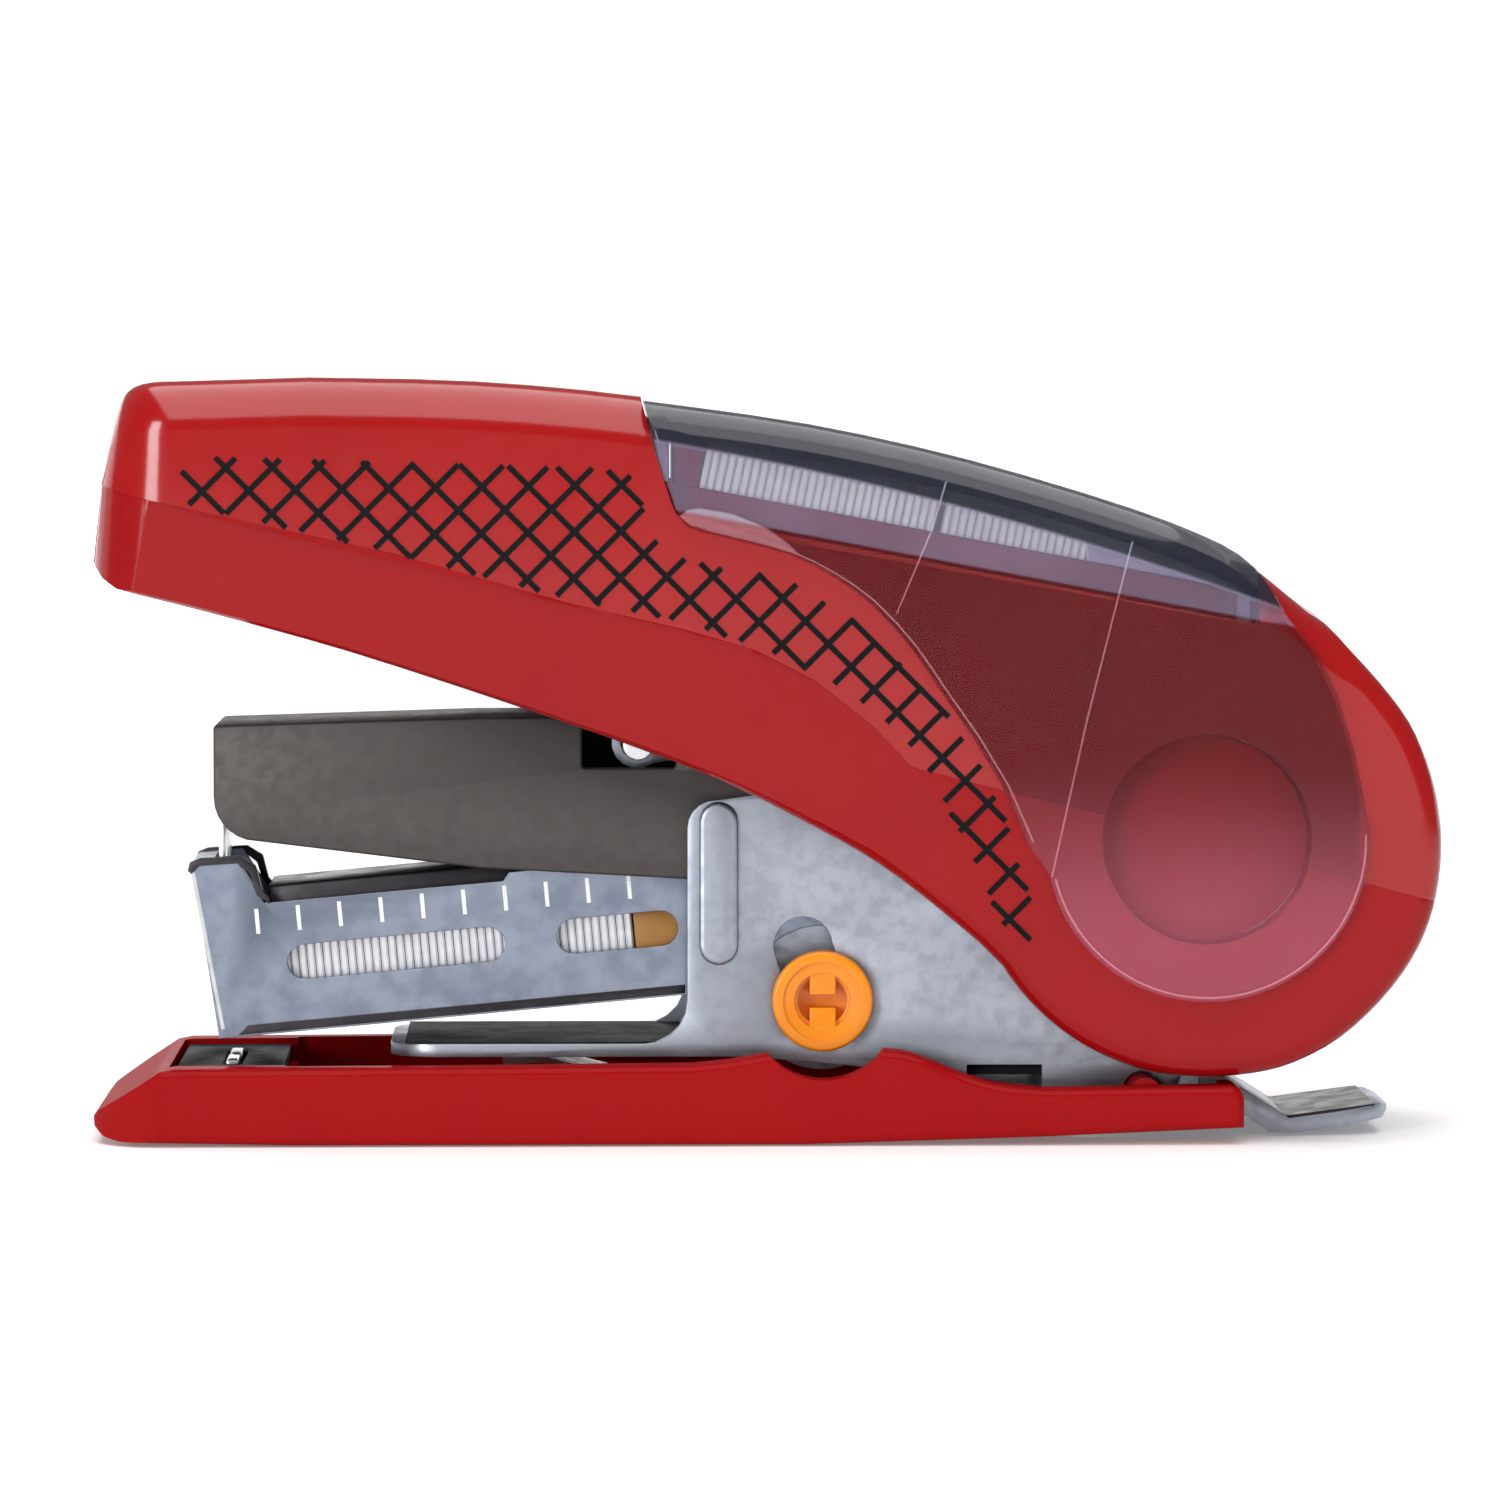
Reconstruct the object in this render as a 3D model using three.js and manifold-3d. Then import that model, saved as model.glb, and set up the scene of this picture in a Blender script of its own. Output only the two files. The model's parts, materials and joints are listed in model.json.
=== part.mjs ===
// Compact light-effort, flat-clinch desk stapler for small staples.
// Units are millimetres. +X points to the tail, +Z up and the origin lies under the middle of
// the stapler, on the desk. The nose, where the staple comes out, is at -X.
// Everything swings about one rear axle: the magazine, the driver arm, the handle and the clear
// cover of the staple store. The frame itself sinks a little on two trunnions in the base.
// Sheet-metal channels nest inside each other, so each one owns a layer of half-widths (LAYER).

import * as THREE from 'three';
import { mergeVertices } from 'three/addons/utils/BufferGeometryUtils.js';
import Module from 'manifold-3d';

const wasm = await Module();
wasm.setup();

// ---- Driving dimensions ------------------------------------------------------------------

const AXLE = { x: 26.1, z: 18.4, radius: 2 };      // rear axle, the main pivot
const REAR_ROUND = { x: 26.7, z: 17.5, radius: 14.83 }; // round tail end of the handle
const HANDLE_BELLY = 14.5;                         // radius of the handle's underside at the axle
const JAW_TILT = THREE.MathUtils.degToRad(5.3);    // the magazine leans nose down by this much
const RUN = 0.15;                                  // running clearance round pins
const SEAT = 0.25;                                 // clearance between pieces that sit together

// Half-widths of the nested layers, from the middle plane outwards.
const LAYER = {
  rail: 3.55,
  blade: 4.1,
  strip: 4.25,
  magazine: [4.4, 5.2],
  arm: [5.4, 6.2],
  frame: [6.45, 7.3],
  cap: [7.45, 8.3],
  bush: [7.6, 9.3],
  axle: 9.3,
  handle: [9.5, 11.3],
  lowerHandle: [9.5, 11],
  trunnion: [9.75, 11.6],
  coverPlate: [11.45, 12.4],
  base: [9.7, 11.5],
};

const BASE = {
  floor: 1.3,            // thickness of the trough's floor
  shelf: 3.2,            // the anvil table lies on this level
  pocket: [-36.6, -29.5],
  trough: [-29.5, 27],
  openBelow: [18, 27],   // the trough has no floor here
};
const ANVIL = { x: [-36.3, -29.9], halfWidth: 8.7, bottom: 3.35, top: 4.3 };
const CLINCHER = { x: [-33.4, -32.7], halfWidth: 4, bottom: 1.9, top: 4.5 };
const BASE_TRUNNION = { x: 22.5, z: 2.9, radius: 1 };

const FRAME = {
  wallFront: -5.2,
  wallTop: 20.6,
  floorFront: -23.3,
  floor: [4.95, 5.75],
  rearFloor: [2.9, 3.7],
  earRadius: 6,
};
const JAW_PIN = { x: 3, z: 8.4, radius: 1.6, bore: 1.05, cap: 3.06, dish: 1.9 };
const JAW_LIFT = THREE.MathUtils.degToRad(8);      // how far the jaw pin can climb its slot
const JAW_SLOT = 1.8;                              // half-width of that slot
const CAP_NOTCH = 4.5;                             // round notch in the base rim at the cap

// Magazine sizes are in its own frame, level, with its origin on the axle.
const MAGAZINE = {
  noseTop: 4,
  top: 1.1,
  step: 1.6,
  bottom: -6.9,
  sheet: 0.7,
  floor: [-58.8, -26.5],
  nose: [-61.4, -60.75],
  noseInner: -60.15,
  earRadius: 5,
  lug: { x: -23.9, z: -7.8, radius: 2.3 },
};
const WINDOW = { z: -2.7, halfHeight: 1.08, spans: [[-55.1, -43.9], [-38.6, -33.3]] };
const STRIP = { x: [-59, -35.2], top: -1, bottom: -5.95, wire: 0.5, width: 8.5 };
const PUSHER = { x: [-34.9, -29.5], top: -0.9, hub: 1.2 };
const GUIDE = { x: [-34.4, -14.6], z: 0.2, radius: 0.6, anchor: [-16, -15.2] };
const PUSHER_SPRING = { x: [-29.2, -16.3], inner: 0.8, outer: 1.4 };

const BLADE = { inner: 59.5, outer: 59.9, top: 24, bottom: 12.4 };
const ARM = { sheet: 0.8, front: -34, noseRadius: 2.7, notch: [-11.6, -5.9], notchFloor: 22.5 };

const FULCRUM = { x: 0.7, z: 22, radius: 1 };      // the power lever turns on this pin
const LEVER_REST = THREE.MathUtils.degToRad(24);   // its angle above the fully pressed pose
const LEVER = {
  plate: [2.2, 3],
  roller: { x: -31.6, z: -1.1, radius: 1.25, halfWidth: 1.9, pin: 0.5 },
  crossPin: { x: -8.9, z: -1.88, radius: 0.95, halfWidth: 6.1 },
};
const BRACKET = { plate: [3.4, 4.2], axleEnd: 4, fulcrumEnd: 2.3 };

// Sloping levels in the store are straight lines: a height at x = -5 and a slope.
const STORE = { front: -8.2, rear: 29.2, at: -5 };
const SILL = { height: 37.85, slope: -0.189 };     // top of the handle's side walls
const LEDGE = { height: 39.7, slope: -0.189 };     // top of the tray's side lips
const TRAY_FLOOR = { height: 38.15, slope: -0.214 };
const TRAY = { thickness: 1.2, lip: 0.35, halfWidth: 9.3, x: [-7.9, 28] };
const STORED = { halves: [[-4.9, 9.4], [9.7, 18.4]], rowOffset: 4.5, height: 4.6 };
const COVER = { discRadius: 9.8, trunnionRadius: 5.7, sheet: 1.05 };
const COVER_HOLE = 5.9;                            // round opening in the handle's side walls
const PRESS_PAD = { x: [-34.5, -25], z: 35.3, halfWidth: 2.6 };

// ---- Materials ---------------------------------------------------------------------------

function finish(color, roughness, metalness) {
  return new THREE.MeshStandardMaterial({ color, roughness, metalness });
}

const redPlastic = () => finish(0xb8282a, 0.3, 0);
const darkRedPlastic = () => finish(0x7c1a1e, 0.4, 0);
const zincSteel = () => finish(0xa9b0ba, 0.35, 0.9);
const brightSteel = () => finish(0xc9ccd2, 0.2, 1);
const darkSteel = () => finish(0x4a4745, 0.4, 0.8);
const stapleSteel = () => finish(0xe2e4e6, 0.35, 0.8);
const orangePlastic = () => finish(0xeb9114, 0.35, 0);
const ochrePlastic = () => finish(0x9c6c28, 0.4, 0);

function clearPlastic() {
  const material = finish(0x7a6a80, 0.1, 0);
  material.transparent = true;
  material.opacity = 0.45;
  return material;
}

// ---- Solids ------------------------------------------------------------------------------

/** Turn a closed three.js geometry into a manifold solid. */
function solidOf(geometry) {
  const bare = geometry.clone();
  bare.deleteAttribute('normal');
  bare.deleteAttribute('uv');
  const merged = mergeVertices(bare, 1e-4);
  return new wasm.Manifold(new wasm.Mesh({
    numProp: 3,
    vertProperties: new Float32Array(merged.attributes.position.array),
    triVerts: new Uint32Array(merged.index.array),
  }));
}

/** Turn a manifold solid back into a three.js geometry. */
function geometryOf(solid) {
  const mesh = solid.getMesh();
  const geometry = new THREE.BufferGeometry();
  geometry.setAttribute('position', new THREE.BufferAttribute(mesh.vertProperties, 3));
  geometry.setIndex(new THREE.BufferAttribute(mesh.triVerts, 1));
  geometry.computeVertexNormals();
  return geometry;
}

/** A side outline of [x, z] points, extruded from y0 to y1. A bevel rounds both rims. */
function slab(outline, y0, y1, bevel = null) {
  const shape = new THREE.Shape(outline.map(([x, z]) => new THREE.Vector2(x, z)));
  const rim = bevel ? bevel.depth : 0;
  const geometry = new THREE.ExtrudeGeometry(shape, {
    depth: y1 - y0 - 2 * rim,
    bevelEnabled: Boolean(bevel),
    bevelThickness: rim,
    bevelSize: bevel ? bevel.size : 0,
    bevelOffset: bevel ? -bevel.size : 0,
    bevelSegments: 2,
  });
  geometry.rotateX(Math.PI / 2);
  geometry.translate(0, y1 - rim, 0);
  return solidOf(geometry);
}

/** A plan outline of [x, y] points, extruded from z0 to z1. */
function planSlab(outline, z0, z1) {
  const shape = new THREE.Shape(outline.map(([x, y]) => new THREE.Vector2(x, y)));
  const geometry = new THREE.ExtrudeGeometry(shape, { depth: z1 - z0, bevelEnabled: false });
  geometry.translate(0, 0, z0);
  return solidOf(geometry);
}

/** A round bar along Y. */
function disc(x, z, radius, y0, y1, sides = 28) {
  const geometry = new THREE.CylinderGeometry(radius, radius, y1 - y0, sides);
  geometry.translate(x, (y0 + y1) / 2, z);
  return solidOf(geometry);
}

/** A block between two values on each axis. */
function block([x0, x1], [y0, y1], [z0, z1]) {
  const geometry = new THREE.BoxGeometry(x1 - x0, y1 - y0, z1 - z0);
  geometry.translate((x0 + x1) / 2, (y0 + y1) / 2, (z0 + z1) / 2);
  return solidOf(geometry);
}

/** A thin round rod in the plane y = const, between two [x, z] points. */
function rod([x0, z0], [x1, z1], y, radius) {
  const from = new THREE.Vector3(x0, y, z0);
  const to = new THREE.Vector3(x1, y, z1);
  const along = to.clone().sub(from);
  const geometry = new THREE.CylinderGeometry(radius, radius, along.length(), 10);
  const turn = new THREE.Quaternion();
  turn.setFromUnitVectors(new THREE.Vector3(0, 1, 0), along.normalize());
  geometry.applyQuaternion(turn);
  geometry.translate((x0 + x1) / 2, y, (z0 + z1) / 2);
  return solidOf(geometry);
}

/** A tube along X, closed by its own wall only. */
function tubeAlongX([x0, x1], z, inner, outer) {
  const profile = [[inner, x0], [outer, x0], [outer, x1], [inner, x1], [inner, x0]];
  const points = profile.map(([radius, x]) => new THREE.Vector2(radius, x));
  const geometry = new THREE.LatheGeometry(points, 20);
  geometry.rotateZ(-Math.PI / 2);
  geometry.translate(0, 0, z);
  return solidOf(geometry);
}

const union = (...solids) => solids.reduce((sum, solid) => sum.add(solid));
const cut = (solid, ...tools) => tools.reduce((rest, tool) => rest.subtract(tool), solid);
const bothSides = (solid) => solid.add(solid.mirror([0, 1, 0]));
const symmetric = (half) => [-half, half];

// ---- Outlines ----------------------------------------------------------------------------

/** Points on a smooth curve through the given [x, z] points. */
function through(points, divisions) {
  const curve = new THREE.SplineCurve(points.map(([x, z]) => new THREE.Vector2(x, z)));
  return curve.getPoints(divisions).map((point) => [point.x, point.y]);
}

/** Points on an arc about a centre, from one angle to another in degrees. */
function arc(centre, radius, from, to, divisions) {
  return Array.from({ length: divisions + 1 }, (_, i) => {
    const angle = THREE.MathUtils.degToRad(from + ((to - from) * i) / divisions);
    return [centre.x + radius * Math.cos(angle), centre.z + radius * Math.sin(angle)];
  });
}

/** An upright-ended slot: two half rounds joined by straight sides, level along X. */
function slotOutline(x0, x1, z, half) {
  return [...arc({ x: x0, z }, half, 270, 90, 8), ...arc({ x: x1, z }, half, 90, -90, 8)];
}

const HANDLE_TOP = [
  [-37.6, 46.05], [-28, 46.34], [-18, 46.1], [-8.2, 45.2], [2, 43.55],
  [11.7, 41.4], [21.6, 38.45], [29, 34.95],
];
const HANDLE_NOSE = [
  [-38.4, 33.2], [-40.6, 33.45], [-41.35, 34.7], [-41.25, 37.6], [-40.7, 41.6],
  [-40.1, 43.7], [-39.2, 45.3], [-37.6, 46.05],
];
const HANDLE_TAIL_BOTTOM = [[38.4, 8.4], [35.8, 6.8], [33.1, 5.35], [29.9, 4.3], [26.1, 3.9]];
const HANDLE_UNDERSIDE = [
  [13.5, 11.2], [7.6, 16], [2.5, 19.1], [-5.9, 23.05], [-22.6, 28.8], [-32.2, 31.6], [-38.4, 33.2],
];

/** The handle from the side, clockwise from under the nose. */
function handleOutline() {
  return [
    ...through(HANDLE_NOSE, 16).slice(0, -1),
    ...through(HANDLE_TOP, 20),
    [31.5, 32.8],
    [34.1, 30.8],
    ...arc(REAR_ROUND, REAR_ROUND.radius, 47, -34, 12),
    ...through(HANDLE_TAIL_BOTTOM, 8),
    ...arc(AXLE, HANDLE_BELLY, 264, 212, 8),
    ...through(HANDLE_UNDERSIDE, 14).slice(0, -1),
  ];
}

/** Everything above the line where the upper and lower handle shells meet. */
function abovePartingLine(lift) {
  const line = [
    [-45, 40.2], [-41, 39.9], [-38.9, 39.2], [-29.4, 37.1], [-22.9, 35.7], [-12.3, 32.7], [-5.3, 31.1],
    [-1.2, 29.9], [2.5, 28], [5.9, 25.3], [8.3, 22.8], [20.9, 19.6], [32.1, 16.7], [45, 13.3],
  ];
  return [...line.map(([x, z]) => [x, z + lift]), [45, 60], [-45, 60]];
}

const levelAt = (x, level) => level.height + level.slope * (x - STORE.at);

// ---- Base --------------------------------------------------------------------------------

function baseOutline() {
  return [
    [-29, 0], [-40, 0.24], [-41.2, 0.9], [-41, 1.7], [-36.9, 4.6], [-20, 4.78], [-5, 4.9], [-0.6, 5.5],
    [7.5, 5.7], [11.1, 4.3], [16.3, 3.3], [27.8, 3.5], [28.4, 3.1], [28.4, 0.95], [16, 0.42], [2, 0],
  ];
}

function basePlan() {
  const w = LAYER.base[1];
  return [
    ...through([[-38.5, -w], [-40.6, -w + 1.2], [-41.4, -w + 4]], 5),
    ...through([[-41.4, w - 4], [-40.6, w - 1.2], [-38.5, w]], 5),
    [27.4, w],
    [28.4, w - 1],
    [28.4, -w + 1],
    [27.4, -w],
  ];
}

function baseShell() {
  const [inner, outer] = LAYER.base;
  const above = 20;
  const body = slab(baseOutline(), -outer, outer).intersect(planSlab(basePlan(), -1, above));
  const clincherSlot = [CLINCHER.x[0] - SEAT, CLINCHER.x[1] + SEAT];
  const hollow = cut(
    body,
    block(BASE.pocket, symmetric(ANVIL.halfWidth + SEAT), [BASE.shelf, above]),
    block(BASE.trough, symmetric(inner), [BASE.floor, above]),
    block(BASE.openBelow, symmetric(LAYER.frame[1] + SEAT), [-1, above]),
    block([BASE.trough[1] - 1, 30], symmetric(LAYER.frame[1]), [-1, above]),
    block(clincherSlot, symmetric(CLINCHER.halfWidth + SEAT), [BASE.floor, above]),
    disc(JAW_PIN.x, JAW_PIN.z, CAP_NOTCH, -outer - 1, outer + 1),
  );
  const { x, z, radius } = BASE_TRUNNION;
  return hollow.add(bothSides(disc(x, z, radius, LAYER.frame[0] + 0.1, inner + 0.5, 20)));
}

function anvilTable() {
  const { x, halfWidth, bottom, top } = ANVIL;
  const slot = [CLINCHER.x[0] - SEAT, CLINCHER.x[1] + SEAT];
  return cut(
    block(x, symmetric(halfWidth), [bottom, top]),
    block(slot, symmetric(CLINCHER.halfWidth + SEAT), [bottom - 1, top + 1]),
  );
}

/** Two fins on one carrier bar. They rise through the anvil table and fold the staple's legs. */
function clincherWings() {
  const { x, halfWidth, bottom, top } = CLINCHER;
  const gap = 0.5;
  const body = block(x, symmetric(halfWidth), [bottom, top]);
  return body.subtract(block([x[0] - 1, x[1] + 1], symmetric(gap), [top - 0.9, top + 1]));
}

/** A bent leaf that holds the frame's floor up. */
function frameLiftSpring() {
  const line = [[2.5, 1.6], [-4.5, 1.8], [-14, 4.2], [-16.5, 4.1]];
  const sheet = 0.4;
  const upper = line.toReversed().map(([x, z]) => [x, z + sheet]);
  return slab([...line, ...upper], -3, 3);
}

// ---- Frame -------------------------------------------------------------------------------

function frameWallOutline() {
  const { wallFront, wallTop, earRadius } = FRAME;
  const corner = 1.7;
  const fillet = 2.6;
  const [floorBottom, floorTop] = FRAME.floor;
  return [
    ...arc({ x: wallFront + corner, z: wallTop - corner }, corner, 180, 90, 5),
    ...arc(AXLE, earRadius, 100, -20, 14),
    [25.4, 5],
    [24.2, 1.9],
    [22.5, 1.2],
    [20.8, 1.9],
    [19.5, FRAME.rearFloor[0]],
    [12.4, FRAME.rearFloor[0]],
    [8.4, floorBottom - 0.9],
    [-1.5, floorBottom],
    [wallFront - fillet, floorBottom],
    ...arc({ x: wallFront - fillet, z: floorTop + fillet }, fillet, 270, 360, 5),
  ];
}

/** The curved slot that the jaw pin climbs, an arc about the axle. */
function jawSlot(y0, y1) {
  const dx = JAW_PIN.x - AXLE.x;
  const dz = JAW_PIN.z - AXLE.z;
  const reach = Math.hypot(dx, dz);
  const rest = THREE.MathUtils.radToDeg(Math.atan2(dz, dx)) + 360;
  const lift = THREE.MathUtils.radToDeg(JAW_LIFT);
  const ends = arc(AXLE, reach, rest, rest - lift, 6);
  return union(...ends.map(([x, z]) => disc(x, z, JAW_SLOT, y0, y1, 20)));
}

/** The floor with its tail tongue: one strip of sheet that bends down, then up to its tip. */
function frameFloor() {
  const [low, high] = FRAME.floor;
  const [rearLow, rearHigh] = FRAME.rearFloor;
  const outline = [
    [FRAME.floorFront, low],
    ...[[8, low], [11.5, rearLow], [26.4, rearLow], [30.4, 0.16], [32, 0.12], [37.5, 0.95]],
    ...[[37.9, 1.6], [37.3, 1.8], [31.6, 1.02], [27.3, rearHigh], [11.8, rearHigh], [8.3, high]],
    [FRAME.floorFront, high],
  ];
  const w = LAYER.frame[1];
  const tongue = 6.3;
  const front = 3;
  const plan = [
    ...arc({ x: FRAME.floorFront + front, z: -w + front }, front, 270, 180, 5),
    ...arc({ x: FRAME.floorFront + front, z: w - front }, front, 180, 90, 5),
    [24.5, w],
    [26, tongue],
    ...arc({ x: 34.9, z: tongue - 3 }, 3, 90, 0, 5),
    ...arc({ x: 34.9, z: -tongue + 3 }, 3, 0, -90, 5),
    [26, -tongue],
    [24.5, -w],
  ];
  return slab(outline, -w, w).intersect(planSlab(plan, -1, 10));
}

function frameChannel() {
  const [inner, outer] = LAYER.frame;
  const past = [inner - 1, outer + 1];
  const wall = cut(
    slab(frameWallOutline(), inner, outer),
    disc(AXLE.x, AXLE.z, AXLE.radius + RUN, ...past),
    jawSlot(...past),
  );
  const trunnionHole = disc(
    BASE_TRUNNION.x, BASE_TRUNNION.z, BASE_TRUNNION.radius + RUN, inner - 0.1, outer + 1, 20);
  const ribOutline = [
    ...arc({ x: -3.3, z: 11.75 }, 1.1, 180, 360, 8),
    ...arc({ x: -3.3, z: 19.3 }, 1.1, 0, 180, 8),
  ];
  const rib = slab(ribOutline, outer - 0.1, outer + 0.35);
  return union(bothSides(wall.add(rib)), frameFloor()).subtract(bothSides(trunnionHole));
}

// ---- Magazine (its own level frame, origin on the axle) ----------------------------------

function magazineWallOutline() {
  const { noseTop, top, step, bottom, nose, earRadius, floor, lug } = MAGAZINE;
  return [
    [nose[1], bottom],
    [nose[0], noseTop],
    [-58.7, noseTop],
    [-57.2, top],
    [-42.6, top],
    [-42.2, step],
    [-14, step],
    ...arc({ x: 0, z: 0 }, earRadius, 110, -110, 12),
    [lug.x + 1, lug.z - lug.radius + 0.05],
    ...arc(lug, lug.radius, 280, 200, 6),
    [floor[1], bottom],
  ];
}

function magazineChannel() {
  const [inner, outer] = LAYER.magazine;
  const { noseTop, bottom, sheet, floor, nose, noseInner, lug } = MAGAZINE;
  const past = [inner - 1, outer + 1];
  const windows = WINDOW.spans.map(([x0, x1]) => (
    slab(slotOutline(x0, x1, WINDOW.z, WINDOW.halfHeight), ...past)));
  const wall = cut(
    slab(magazineWallOutline(), inner, outer),
    disc(0, 0, AXLE.radius + RUN, ...past),
    disc(lug.x, lug.z, JAW_PIN.radius + 0.12, ...past, 20),
    ...windows,
  );
  const frontPlate = [[nose[1], bottom], [nose[0], noseTop], [noseInner, noseTop], [noseInner, bottom]];
  return union(
    bothSides(wall),
    slab(frontPlate, -outer, outer),
    block(floor, symmetric(outer), [bottom, bottom + sheet]),
  );
}

/** The inner rail that the staples straddle. */
function magazineRail() {
  const sheet = 0.6;
  const x = [-58.5, -16.6];
  const outer = block(x, symmetric(LAYER.rail), [-5.9, -1.75]);
  return outer.subtract(block([x[0] - 1, x[1] + 1], symmetric(LAYER.rail - sheet), [-7, -1.75 - sheet]));
}

/** A folded strap over the strip that keeps the staples down. */
function stapleHoldDown() {
  const x = [-57, -36.4];
  const outer = block(x, symmetric(4.15), [-0.7, 2.1]);
  return outer.subtract(block([x[0] - 1, x[1] + 1], symmetric(3.55), [-2, 1.5]));
}

/** A glued strip of staples, as an inverted trough: the crown on top, the legs at the sides. */
function stapleStrip([x0, x1], bottom, top, y = 0) {
  const half = STRIP.width / 2;
  const outer = block([x0, x1], [y - half, y + half], [bottom, top]);
  const inside = [y - half + STRIP.wire, y + half - STRIP.wire];
  return outer.subtract(block([x0 - 1, x1 + 1], inside, [bottom - 1, top - STRIP.wire]));
}

/** A saddle behind the strip, with a hub that slides on the guide rod. */
function pusherShoe() {
  const { x, top, hub } = PUSHER;
  const saddle = block(x, symmetric(4.2), [-5.9, top]);
  const body = saddle.add(block(x, symmetric(2), [top - 0.5, hub + 0.5]));
  const railGap = block([x[0] - 1, x[1] + 1], symmetric(LAYER.rail + 0.15), [-7, -1.55]);
  const bore = tubeAlongX([x[0] - 1, x[1] + 1], GUIDE.z, 0, GUIDE.radius + 0.15);
  return cut(body, railGap, bore);
}

function pusherGuide() {
  const { x, z, radius, anchor } = GUIDE;
  const bar = tubeAlongX(x, z, 0, radius);
  return bar.add(block(anchor, symmetric(3.1), [-1.4, 1.8]));
}

/** Caps on both sides with a crossed recess, and a hollow shaft between them. */
function jawPin() {
  const { x, z, radius, bore, cap, dish } = JAW_PIN;
  const [capIn, capOut] = LAYER.cap;
  const recess = 0.5;
  const body = union(
    disc(x, z, radius, -capOut, capOut, 24),
    bothSides(disc(x, z, cap, capIn, capOut, 32)),
  );
  const arms = 0.6;
  const cross = union(
    block([x - dish, x + dish], [capOut - recess, capOut + 1], [z - arms, z + arms]),
    block([x - arms, x + arms], [capOut - recess, capOut + 1], [z - dish, z + dish]),
  );
  return cut(body, disc(x, z, bore, -capOut - 1, capOut + 1, 20), bothSides(cross));
}

// ---- Rear axle, lever bracket and springs ------------------------------------------------

const rearAxle = () => disc(AXLE.x, AXLE.z, AXLE.radius, ...symmetric(LAYER.axle));

function leverBracket() {
  const [inner, outer] = BRACKET.plate;
  const link = [
    ...arc(FULCRUM, BRACKET.fulcrumEnd, 258, 80, 10),
    ...arc(AXLE, BRACKET.axleEnd, 80, -102, 12),
  ];
  const plate = cut(
    slab(link, inner, outer),
    disc(AXLE.x, AXLE.z, AXLE.radius + RUN, inner - 1, outer + 1),
    disc(FULCRUM.x, FULCRUM.z, FULCRUM.radius + RUN, inner - 1, outer + 1, 20),
  );
  return bothSides(plate).add(block([7, 13], symmetric(inner + 0.2), [20.2, 21]));
}

const fulcrumPin = () => disc(FULCRUM.x, FULCRUM.z, FULCRUM.radius, ...symmetric(BRACKET.plate[1]), 20);

/** A torsion coil round the axle, drawn as a sleeve, with one leg down and one leg up. */
function returnSpring() {
  const inner = AXLE.radius + 0.3;
  const outer = inner + 1.2;
  const sleeve = disc(AXLE.x, AXLE.z, outer, -2.6, 2.6).subtract(disc(AXLE.x, AXLE.z, inner, -3, 3));
  const wire = 0.45;
  const grip = (inner + outer) / 2;
  const lowLeg = rod([AXLE.x - 1, AXLE.z - grip], [13.6, 15.6], 1.8, wire);
  const highLeg = rod([AXLE.x - 1, AXLE.z + grip], [10, 29.5], -1.8, wire);
  return union(sleeve, lowLeg, highLeg);
}

const handleBush = (side) => {
  const [inner, outer] = LAYER.bush;
  const [y0, y1] = side < 0 ? [-outer, -inner] : [inner, outer];
  const body = disc(AXLE.x, AXLE.z, 5, y0, y1);
  return body.subtract(disc(AXLE.x, AXLE.z, AXLE.radius + RUN, y0 - 1, y1 + 1));
};

// ---- Driver arm and blade ----------------------------------------------------------------

function armWallOutline() {
  const { front, noseRadius, notch, notchFloor } = ARM;
  const nose = { x: front + noseRadius, z: 20.75 };
  return [
    ...arc(nose, noseRadius, 255, 180, 6),
    [front, 25.1],
    [-18, 25.6],
    [notch[0], 25.6],
    [notch[0], notchFloor],
    [notch[1], notchFloor],
    [notch[1], 25.5],
    ...arc(AXLE, 4.9, 85, -95, 12),
    [-5, 15.7],
    [-17.8, 16.4],
    [-25.1, 17.3],
  ];
}

function driverArm() {
  const [inner, outer] = LAYER.arm;
  const wall = slab(armWallOutline(), inner, outer);
  const bored = wall.subtract(disc(AXLE.x, AXLE.z, AXLE.radius + RUN, inner - 1, outer + 1));
  const { front, sheet, notch } = ARM;
  const roof = [[front, 25.1], [-18, 25.6], [notch[0], 25.6], [notch[0], 25.6 - sheet], [-18, 25.6 - sheet],
    [front, 25.1 - sheet]];
  return bothSides(bored).add(slab(roof, -outer, outer));
}

/** The blade is bent to an arc about the axle, so that it slides along itself into the nose. */
function driverBlade() {
  const { inner, outer, top, bottom } = BLADE;
  const angleAt = (z) => 180 - THREE.MathUtils.radToDeg(Math.asin((z - AXLE.z) / outer));
  const from = angleAt(top);
  const to = angleAt(bottom);
  const outline = [...arc(AXLE, outer, from, to, 8), ...arc(AXLE, inner, to, from, 8)];
  return slab(outline, ...symmetric(LAYER.blade));
}

// ---- Power lever (its own frame, origin on the fulcrum, drawn fully pressed) -------------

function powerLever() {
  const [inner, outer] = LEVER.plate;
  const { roller, crossPin } = LEVER;
  const origin = { x: 0, z: 0 };
  const outline = [
    [-30.9, -2.3],
    ...arc(roller, 1.15, 270, 110, 6),
    [-12.7, 2.3],
    ...arc(origin, 2, 100, -90, 8),
    [-6.2, -1.8],
    ...arc(crossPin, 1.6, 330, 190, 6),
    [-12.7, -0.2],
  ];
  const past = [inner - 1, outer + 1];
  const plate = cut(
    slab(outline, inner, outer),
    disc(0, 0, FULCRUM.radius + RUN, ...past, 20),
    disc(roller.x, roller.z, roller.pin + 0.12, ...past, 16),
    disc(crossPin.x, crossPin.z, crossPin.radius + 0.12, ...past, 20),
  );
  const web = block([-27, -14], symmetric(inner + 0.2), [0.1, 0.8]);
  return bothSides(plate).add(web);
}

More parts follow.
